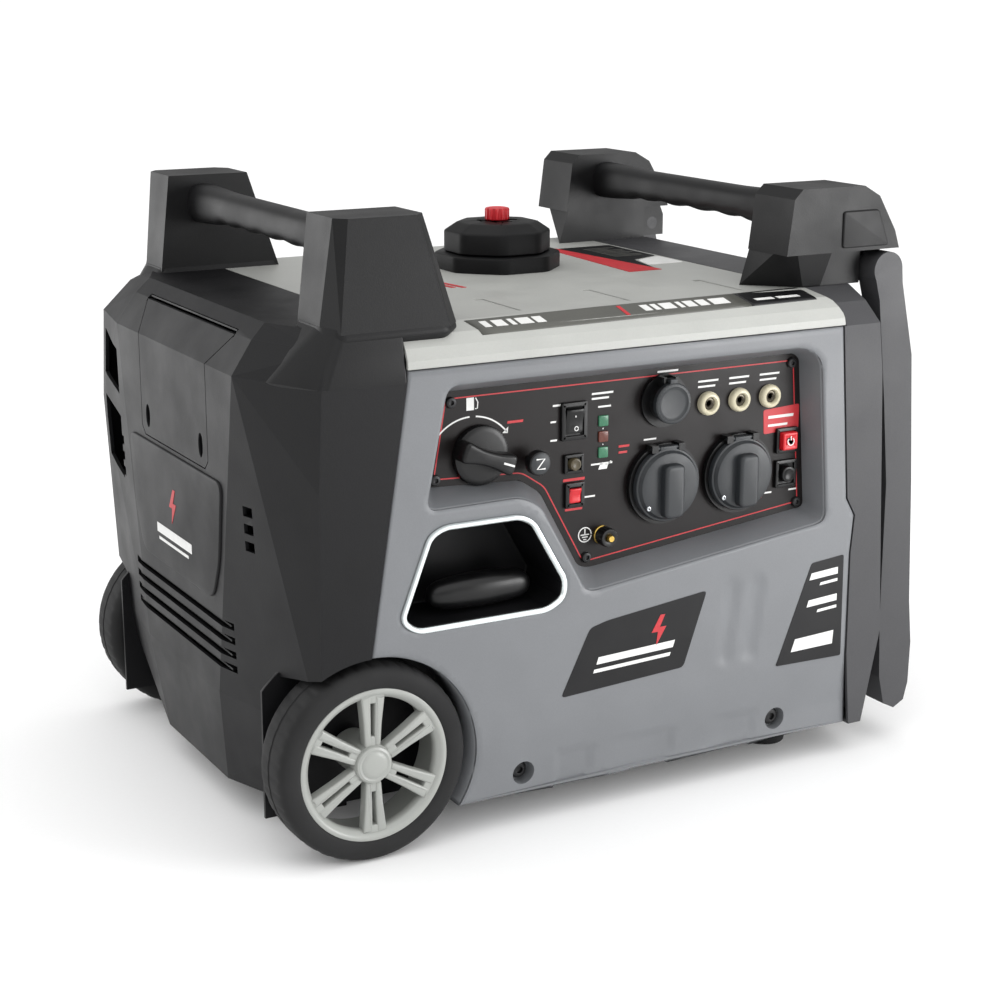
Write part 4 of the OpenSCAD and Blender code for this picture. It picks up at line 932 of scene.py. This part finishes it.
class GENERATOR_OT_controls(bpy.types.Operator):
    """Dial, choke, rockers, reset button, lamps and breakers"""
    bl_idname = "generator.controls"
    bl_label = "Controls"

    def execute(self, context):
        black, y = "Moulded nylon, control black", PLATE_Y
        bezels = [frame_block(ECO, 12, 15.5, y, 3, 3.4), frame_block(PARALLEL, 9, 10.5, y, 3, 3.4),
                  frame_block(RESET, 9, 8, y, 3, 2.4), frame_block(RED, 11, 11, y, 3.2, 2.8),
                  frame_block(BLACK, 11, 12, y, 3.2, 2.8)]
        piece("switch_frames", bezels, black, "root", ["switch_bezels"])
        piece("eco_switch", [rocker(ECO, 8, 10)], black, "eco", ["eco_rocker"])
        piece("eco_switch_marks", self.rocker_marks(ECO, 10), "Screen print, white", "eco")
        piece("parallel_switch", [rocker(PARALLEL, 5.2, 6)], "Moulded nylon, signal red", "parallel",
              ["parallel_rocker"])
        piece("reset_cap", [turned([(5.2, -10), (5.2, 4.4), (4.7, 5.4), (3.6, 5.8), (2.8, 5.2),
                                    (0.01, 5.0)], RESET, y,
                                   32)], "Reset cap, olive", "reset", ["reset_button"])
        piece("breaker_red_cap", [self.square_button(RED, 7.6, 8)], "Moulded nylon, signal red",
              "breaker_red",
              ["red_breaker"])
        ring = stroke(arc(RED, 3.2, 130, 410, 20), 0.9)
        piece("breaker_red_mark", printed([ring, stroke([(RED[0], RED[1] + 1), (RED[0], RED[1] + 4.6)],
                                                        0.9)], y - 8),
              "Screen print, white", "breaker_red")
        piece("breaker_black_cap", [turned([(7.1, -10), (7.1, 5.6), (6.4, 6.7), (5, 7), (4, 6.4),
                                            (0.01, 6.2)], BLACK,
                                           y, 40)], black, "breaker_black",
              ["black_breaker"])
        for index, (at, finish) in enumerate(zip(LAMPS, ("Lens acrylic, green", "Lens acrylic, amber",
                                                         "Lens acrylic, green"))):
            box = soften([(at[0] - 4.5, at[1] - 4.5), (at[0] + 4.5, at[1] - 4.5), (at[0] + 4.5, at[1] + 4.5),
                          (at[0] - 4.5, at[1] + 4.5)], 1, 2)
            piece(f"lamp_{index + 1}", [pillow(box, 1.5, 0.7, on_front(y), -3)], finish, "root",
                  ["indicator_lamps"] if index == 0 else [])
        self.dial()
        self.choke()
        return {"FINISHED"}

    @staticmethod
    def rocker_marks(at, half_h):
        marks = [stroke(arc((at[0], at[1] - half_h * 0.55), 1.7, 0, 350), 0.6),
                 stroke([(at[0], at[1] + half_h * 0.35), (at[0], at[1] + half_h * 0.75)], 0.8)]
        return printed(marks[:1], PLATE_Y - 5.2, 0.4) + printed(marks[1:], PLATE_Y - 4.1, 0.4)

    @staticmethod
    def square_button(at, half, height):
        x, z = at
        o = soften([(x - half, z - half), (x + half, z - half), (x + half, z + half), (x - half, z + half)],
                   1.6, 3)
        return stacked(o, [(0, -8), (0, height - 1.4), (-0.4, height - 0.5), (-1.3, height),
                           (-2.4, height - 0.1),
                           (-3.2, height - 0.7), (-4.5, height - 0.8)], on_front(PLATE_Y))

    @staticmethod
    def dial():
        """A stepped disc with 60 fine teeth and a bow-tie lever whose ends are wider than its waist."""
        def teeth(angle, height):
            return 1 - 0.02 * (0.5 + 0.5 * np.cos(60 * angle)) * step(height, 0.5,
                                                                      1.5) * (1 - step(height, 4, 5))

        at = (KNOB[0], PLATE_Y - 0.4, KNOB[1])
        base = ringed([(22, 0), (24, 0.4), (24, 2), (24, 3.6), (23.4, 4.6), (22, 5.2), (19, 5.6),
                       (0.01, 5.8)], at, 240,
                      teeth, "y", -1)
        turn = math.radians(20)

        def place(u, v, h):
            return np.stack([KNOB[0] + u * math.cos(turn) + v * math.sin(turn), PLATE_Y - 5 - h + 0 * u,
                             KNOB[1] - u * math.sin(turn) + v * math.cos(turn)], -1)

        lever = soften([(-24, -9.5), (-8, -6), (8, -6), (24, -9.5), (24, 9.5), (8, 6), (-8, 6), (-24, 9.5)],
                       6, 5)
        piece("fuel_dial", [base, pillow(lever, 15, 3, place, -1)], "Moulded nylon, control black",
              "engine_dial",
              ["engine_knob"])
        line = np.array([(12, -0.8), (22, -0.8), (22, 0.8), (12, 0.8)])
        piece("fuel_dial_line", [stacked(line, [(0, 14.5), (0, 15.3)], place)], "Screen print, white",
              "engine_dial")

    @staticmethod
    def choke():
        def flutes(angle, height):
            return 1 - 0.03 * (0.5 + 0.5 * np.cos(24 * angle)) * step(height, 10.5,
                                                                      12) * (1 - step(height, 15.5, 17))

        at = (CHOKE[0], PLATE_Y, CHOKE[1])
        knob = ringed([(3.5, -20), (3.5, 9), (5, 10), (9, 10.2), (10, 11), (10, 16.4), (9.4, 17.5),
                       (8.4, 18)], at, 144,
                      flutes, "y", -1)
        piece("choke_pull_knob", [knob], "Moulded nylon, control black", "choke",
              ["choke_knob"])
        face = turned([(8.6, 17.2), (8.4, 18.1), (7.6, 18.5), (0.01, 18.6)], CHOKE, PLATE_Y)
        piece("choke_face", [face], "Moulded PVC, lid grey", "choke")
        x, z = CHOKE
        mark = stroke([(x - 4, z + 4), (x + 3.4, z + 4), (x - 3.4, z - 4), (x + 4, z - 4)], 1.2)
        piece("choke_mark", printed([mark], PLATE_Y - 18.6, 0.3), "Screen print, white", "choke")


class GENERATOR_OT_sockets(bpy.types.Operator):
    """Outlets with their hinged lids, the DC socket, terminals and the ground stud"""
    bl_idname = "generator.sockets"
    bl_label = "Sockets"

    def execute(self, context):
        y = PLATE_Y
        dress("ac_outlets", "Moulded nylon, control black", 0.8)
        dress("dc_socket", "Moulded nylon, control black", 0.5)
        for at, word in ((OUTLETS[0], "left"), (OUTLETS[1], "right")):
            self.outlet_lid(at, word)
        piece("dc_lid_cap", [self.dc_lid()], "Moulded PVC, lid grey", "dc_lid", ["dc_cap"])
        rings, metal = [], []
        for at in JACKS:
            rings.append(hoop(turned([(10, -1), (10, 2.6), (9.4, 4.4), (8.2, 5.4), (6.6, 5.6), (5.9, 5),
                                      (5.3, 3.4),
                                      (5.3, -1)], at, y, 40), 8))
            metal.append(turned([(5.2, -14), (5.2, 2.2), (4.6, 3), (3.4, 3.2), (2.6, 2.8), (2.0, 2),
                                 (2.0, -10),
                                 (0.01, -10)], at, y, 32))
        piece("terminal_rings", rings, "Insulator ring, cream", "root",
              ["parallel_terminals"])
        # The sleeves' colour is darkened as painted shade of the bore.
        piece("terminal_sleeves", metal, "Nickel-plated brass, painted bore shade", "root")
        stud = turned([(8, -0.5), (8, 1.4), (7.4, 2), (3, 2.1), (3, 15), (2.4, 16), (0.01, 16)], GROUND, y,
                      40)
        piece("ground_post", [stud], "Turned brass", "root", ["ground_stud"])

        def knurl(angle, height):
            return 1 - 0.1 * (0.5 + 0.5 * np.cos(18 * angle)) * step(height, 2.6,
                                                                     4) * (1 - step(height, 11, 12.6))

        nut = ringed([(3.15, 2.4), (7.4, 2.4), (8, 3.2), (8, 11.6), (7.2, 12.8), (4, 13), (3.15, 12.6)],
                     (GROUND[0], y, GROUND[1]), 144, knurl, "y", -1)
        piece("ground_knob", [hoop(nut, 7)], "Moulded nylon, control black", "earth_nut",
              ["ground_nut"])
        return {"FINISHED"}

    @staticmethod
    def outlet_lid(at, word):
        """A low dome with a stepped rim, a finger rib down its middle and a hinge barrel above."""
        y = PLATE_Y - 5.4
        dome = turned([(28, 0), (31, 0.2), (31, 3.8), (30.4, 4.8), (29, 5.2), (28.4, 6.2), (27, 8.2),
                       (24, 9), (16, 9.3),
                       (0.01, 9.4)], at, y, 72)
        x, z = at
        rib = soften([(x - 9.6, z - 26), (x + 9.6, z - 26), (x + 9.6, z + 19), (x - 9.6, z + 19)], 6, 5)
        pieces = [dome, pillow(rib, 17, 3.2, on_front(y), 6)]
        hinge_z = z + 31
        pieces.append(revolved([(1.7, -15), (1.7, 15)], (x, PLATE_Y - 8, hinge_z), 20, "x"))
        leaf = soften([(x - 8, z + 26), (x + 8, z + 26), (x + 8, hinge_z + 1.6), (x - 8, hinge_z + 1.6)],
                      0.8, 2)
        pieces.append(pillow(leaf, 5, 0.8, on_front(y), 0.6))
        body = "outlet_lid_" + word
        piece("outlet_cover_" + word, pieces, "Moulded PVC, lid grey", body, ["ac_cap_" + word])
        screw = screw_head((x - 20.5, z - 17), y - 7.6, 2.2)
        piece("outlet_cover_screw_" + word, [screw], "Zinc-plated steel", body)

    @staticmethod
    def dc_lid():
        tip = PLATE_Y - 11
        x, z = DC
        r = 17.0

        def grip_edge(angle, height):
            return 1 - 0.03 * (0.5 + 0.5 * np.cos(30 * angle)) * step(height, 1,
                                                                      2) * (1 - step(height, 4, 5.4))

        cap, faces = ringed([(r - 1, 0.4), (r, 0.8), (r, 4.8), (r - 1, 5.7), (r - 3, 6), (r - 4, 5.2),
                             (r - 6, 4.8),
                             (0.01, 4.8)], (x, tip, z), 180, grip_edge, "y", -1)
        barrel = revolved([(1.6, -7), (1.6, 7)], (x, tip + 1, z + 18.5), 20, "x")
        leaf = soften([(x - 3.4, z + 13), (x + 3.4, z + 13), (x + 3.4, z + 20), (x - 3.4, z + 20)], 0.6, 2)
        strap, strap_faces = pillow(leaf, 4.6, 0.6, on_front(tip - 0.4), 0)
        n = len(cap)
        m = n + len(barrel[0])
        faces = faces + [[i + n for i in f] for f in barrel[1]] + [[i + m for i in f] for f in strap_faces]
        return np.concatenate([cap, barrel[0], strap]), faces


class GENERATOR_OT_starter(bpy.types.Operator):
    """Starter pocket, bright trim, pull grip, rope and reel"""
    bl_idname = "generator.starter"
    bl_label = "Starter"

    def execute(self, context):
        dress("recoil_pocket", "Textured polypropylene, charcoal", 2.0)
        outline = soften(POCKET, 14, 8)
        section = [(2.0, -0.2), (2.0, 1.2), (1.4, 2.2), (0.2, 2.6), (-1.2, 2.3), (-2.2, 1.0), (-2.2, -0.2)]
        rows = np.stack([on_front(FRONT_Y)(*grown(outline, g).T, h) for g, h in section])
        piece("pocket_surround", [skin(rows, wrap_rows=True)], "Metallised trim, bright", "root",
              ["pocket_trim"])
        piece("starter_handle", [self.handle()], "Moulded nylon, control black", "starter_grip",
              ["recoil_grip"])
        y = np.linspace(-184, -146.5, 60)[:, None]
        a = np.linspace(0, 2 * np.pi, 16, endpoint=False)[None]
        strand = 2.0 + 0.12 * np.cos(2 * a + y * 1.6)
        grid = np.stack([-126 + strand * np.cos(a), y + 0 * a, 200 + strand * np.sin(a)], -1)
        rope = piece("starter_rope_lead", [skin(grid)], "Braided nylon rope", "starter_grip",
                     ["rope_lead"])
        rope.parent = None
        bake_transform(rope)
        turns = np.linspace(0, 2 * np.pi * 3, 200)
        coil = np.stack([-76 + 48 * np.cos(turns), -144 + turns / (2 * np.pi) * 3.3,
                         200 + 48 * np.sin(turns)], 1)
        b = np.linspace(0, 2 * np.pi, 10, endpoint=False)
        piece("wound_rope", [swept(coil, np.stack([1.9 * np.cos(b), 1.9 * np.sin(b)], 1), (0, 1, 0))],
              "Braided nylon rope", "starter_reel", ["recoil_rope"])
        dress("recoil_reel", "Moulded nylon, control black", 0.6)
        dress("recoil_housing", "Rotomoulded polyethylene", 1.0)
        return {"FINISHED"}

    @staticmethod
    def handle():
        """A bar along X with a fat rounded section that swells at its middle and closes in round ends."""
        u = np.linspace(-1, 1, 61)[:, None]
        a = np.linspace(0, 2 * np.pi, 40, endpoint=False)[None]
        full = np.maximum(1 - np.abs(u) ** 7, 0) ** 0.5
        swell = 0.92 + 0.08 * np.cos(np.pi * u)
        c, s = np.cos(a), np.sin(a)
        x = -126 + 46 * u + 0 * a
        y = -194 + 12 * full * swell * np.sign(c) * np.abs(c) ** 0.85
        z = 200.5 + 14 * full * swell * np.sign(s) * np.abs(s) ** 0.85
        return skin(np.stack([x, y, z], -1))


class GENERATOR_OT_fuel(bpy.types.Operator):
    """Filler collar, eight-sided fuel cap and red vent knob"""
    bl_idname = "generator.fuel"
    bl_label = "Fuel filler"

    def execute(self, context):
        x, y = 23.0, 46.0

        def eight(radius, round_off=7):
            a = np.radians(np.arange(8) * 45 + 22.5)
            return soften(np.stack([x + radius * np.cos(a), y + radius * np.sin(a)], 1), round_off, 4)

        def circle(radius):
            """As many points as eight() has, from the same start angle."""
            a = np.radians(22.5 + (np.arange(40) - 2) * 9)
            return np.stack([x + radius * np.cos(a), y + radius * np.sin(a)], 1)

        rows = [(eight(58), 0), (eight(58), 11.8), (eight(57.4), 13.2), (eight(56), 14), (eight(40), 14),
                (circle(28), 14), (circle(28), 21.6), (circle(27.4), 22), (circle(25.6), 22),
                (circle(25), 21.6),
                (circle(25), -38), (circle(28), -38), (circle(28), -3)]
        grid = np.stack([upward(416)(*o.T, h) for o, h in rows])
        piece("filler_base", [skin(grid, wrap_rows=True)], "Textured polypropylene, black", "root",
              ["filler_collar"])
        cap = stacked(eight(49), [(-2.6, 0), (-0.8, 0.4), (0, 1.4), (0, 17.6), (-0.6, 18.8), (-2, 19.8),
                                  (-9.5, 24.8), (-11, 25.8), (-13, 26.4), (-30, 27)], upward(430.4))
        piece("fuel_lid_cap", [cap], "Textured polypropylene, black", "fuel_lid", ["fuel_cap"])

        def ribs(angle, height):
            return 1 - 0.09 * (0.5 - 0.5 * np.tanh(3 * np.cos(12 * angle))) * (1 - step(height, 9.6, 10.8))

        knob = ringed([(5, -6.5), (5, 0.4), (10.4, 0.5), (11, 1.2), (11, 9.8), (10.2, 10.9), (8.6, 11.2),
                       (7.8, 10.6),
                       (0.01, 10.4)], (x, y, 457.4), 192, ribs, "z", 1)
        piece("vent_cap", [knob], "Moulded nylon, signal red", "vent", ["vent_knob"])
        dress("fuel_tank", "Rotomoulded polyethylene", 1.5)
        return {"FINISHED"}


class GENERATOR_OT_works(bpy.types.Operator):
    """Engine, alternator, muffler, tray and the other inner parts"""
    bl_idname = "generator.works"
    bl_label = "Inner works"

    def execute(self, context):
        for node, finish, edge in (("base_tray", "Powder-coated tray steel", 0.8),
                                   ("engine_block", "Cast aluminium", 1.0),
                                   ("crankshaft", "Zinc-plated steel", 0.6), ("rotor", "Cast aluminium", 0.8),
                                   ("stator", "Enamelled copper winding", 0.8),
                                   ("muffler", "Heat-tinted muffler steel", 0.8),
                                   ("air_filter_box", "Rotomoulded polyethylene", 1.2),
                                   ("carburettor", "Cast aluminium", 0.8),
                                   ("spark_plug", "Glazed ceramic", 0.5),
                                   ("oil_cap", "Moulded nylon, control black", 1.0),
                                   ("inverter_module", "Cast aluminium", 0.5)):
            dress(node, finish, edge)
        return {"FINISHED"}


class GENERATOR_OT_labels(bpy.types.Operator):
    """Plain labels on the side and on the left end: dark film, a red flash and white bars"""
    bl_idname = "generator.labels"
    bl_label = "Labels"

    def execute(self, context):
        y = FRONT_Y
        first = soften([(-36, 160), (-20, 164), (77, 175), (55, 111.5), (-63, 105)], 4, 3)
        second = soften([(185, 183), (219, 186.2), (220, 94.5), (150.5, 95.6)], 2, 3)
        piece("side_label", printed([first], y, 0.35), "Vinyl label, black", "root")
        piece("rating_label", printed([second], y, 0.35), "Vinyl label, black", "root")
        piece("side_label_flash", printed([bolt(30, 148, 13)], y - 0.35, 0.25), "Screen print, red", "root")
        white = [[(-30, 128), (44, 131), (46, 137), (-28, 134)],
                 [(-33, 121), (41, 124), (42, 127), (-32, 124)]]
        white += [[(183, 168), (213, 170), (213, 176), (185, 174)],
                  [(194, 162), (213, 163.5), (213, 166), (195, 164.5)],
                  [(181, 144), (213, 146), (213, 152), (183, 150)],
                  [(192, 138), (213, 139.5), (213, 142), (193, 140.5)],
                  [(166, 106), (210, 107), (211, 119), (170, 117)]]
        piece("label_bars", printed(white, y - 0.35, 0.25), "Screen print, white", "root")
        end = facing_left(-306.0)
        flash = bolt(0, 0, 15) * [-1, 1] + [4, 244]
        piece("end_flash", [stacked(flash, [(0, -0.1), (0, 0.3)], end)], "Screen print, red", "root")
        rows = [np.array([(-38, 214), (44, 214), (44, 222), (-38, 222)], float),
                np.array([(-30, 208), (40, 208), (40, 210.5), (-30, 210.5)], float)]
        piece("end_bars", [stacked(r, [(0, -0.1), (0, 0.3)], end) for r in rows], "Screen print, white",
              "root")
        return {"FINISHED"}


class GENERATOR_OT_stage(bpy.types.Operator):
    """Pale floor, soft studio light and the camera"""
    bl_idname = "generator.stage"
    bl_label = "Studio stage"

    def execute(self, context):
        half = 80.0
        mesh = bpy.data.meshes.new("studio_floor")
        mesh.from_pydata([(-half, -half, 0), (half, -half, 0), (half, half, 0), (-half, half, 0)], [],
                         [(0, 1, 2, 3)])
        floor = bpy.data.objects.new("studio_floor", mesh)
        context.scene.collection.objects.link(floor)
        paper = bpy.data.materials.new("Backdrop paper")
        paper.use_nodes = True
        grained(paper, colour="fcfcfc", roughness=0.9, grain=4.0, depth=0.02, mottle=0.01, patch=400)
        mesh.materials.append(paper)
        world = bpy.data.worlds.new("Studio air")
        world.use_nodes = True
        air = world.node_tree.nodes["Background"]
        air.inputs["Color"].default_value = (*sizes().air, 1)
        air.inputs["Strength"].default_value = 0.5
        context.scene.world = world
        context.scene.view_settings.view_transform = "Standard"
        # A wide soft sun stands in for the overhead sheet of a light tent: it reaches the whole floor.
        sheet = bpy.data.lights.new("Overhead sheet", "SUN")
        sheet.energy, sheet.angle = 2.2, math.radians(110)
        lights = [("Overhead sheet", sheet, (-0.6, -1.0, 3.0), (0, 0, 0))]
        for name, place, aim, size, power in (("Left softbox", (-1.4, 1.7, 0.6), (-0.3, 0, 0.25), 1.2, 11),
                                              ("Right softbox", (1.5, -1.7, 0.4), (0.25, -0.2, 0.25), 1.0,
                                               34)):
            lamp = bpy.data.lights.new(name, "AREA")
            lamp.shape, lamp.size, lamp.energy = "SQUARE", size, power
            lights.append((name, lamp, place, aim))
        for name, lamp, place, aim in lights:
            holder = bpy.data.objects.new(name, lamp)
            holder.location = place
            holder.rotation_mode = "QUATERNION"
            holder.rotation_quaternion = (Vector(aim) - Vector(place)).to_track_quat("-Z", "Y")
            context.scene.collection.objects.link(holder)
        camera = bpy.data.cameras.new("Product camera")
        camera.sensor_width, camera.lens = 36.0, 72.95
        camera.clip_start, camera.clip_end = 0.05, 50
        stand = bpy.data.objects.new("Product camera", camera)
        turn, rise = math.radians(-28.8), math.radians(14.8)
        back = Vector((math.sin(turn) * math.cos(rise), -math.cos(turn) * math.cos(rise), math.sin(rise)))
        stand.location = Vector((0, -0.0013, 0.2123)) + back * 1.8224
        stand.rotation_mode = "QUATERNION"
        stand.rotation_quaternion = (-back).to_track_quat("-Z", "Y")
        context.scene.collection.objects.link(stand)
        context.scene.camera = stand
        return {"FINISHED"}


STEPS = (GENERATOR_OT_stage, GENERATOR_OT_side_shells, GENERATOR_OT_end_shells, GENERATOR_OT_cover,
         GENERATOR_OT_handles, GENERATOR_OT_wheels, GENERATOR_OT_panel, GENERATOR_OT_controls,
         GENERATOR_OT_sockets,
         GENERATOR_OT_starter, GENERATOR_OT_fuel, GENERATOR_OT_works, GENERATOR_OT_labels)


class GENERATOR_PT_pieces(bpy.types.Panel):
    """Sidebar panel that lists the sizes and the pieces"""
    bl_idname = "GENERATOR_PT_pieces"
    bl_label = "Portable generator"
    bl_space_type = "VIEW_3D"
    bl_region_type = "UI"
    bl_category = "Generator"

    def draw(self, context):
        for name in ("shell_edge", "tower_edge", "arm_edge", "air"):
            self.layout.prop(context.scene.generator_sizes, name)
        for operator in STEPS:
            self.layout.operator(operator.bl_idname)


CLASSES = (GeneratorSizes, *STEPS, GENERATOR_PT_pieces)


def register():
    for cls in CLASSES:
        bpy.utils.register_class(cls)
    bpy.types.Scene.generator_sizes = bpy.props.PointerProperty(type=GeneratorSizes)


def unregister():
    del bpy.types.Scene.generator_sizes
    for cls in reversed(CLASSES):
        bpy.utils.unregister_class(cls)


def main():
    register()
    for operator in STEPS:
        group, name = operator.bl_idname.split(".")
        getattr(getattr(bpy.ops, group), name)()


if __name__ == "__main__":
    main()
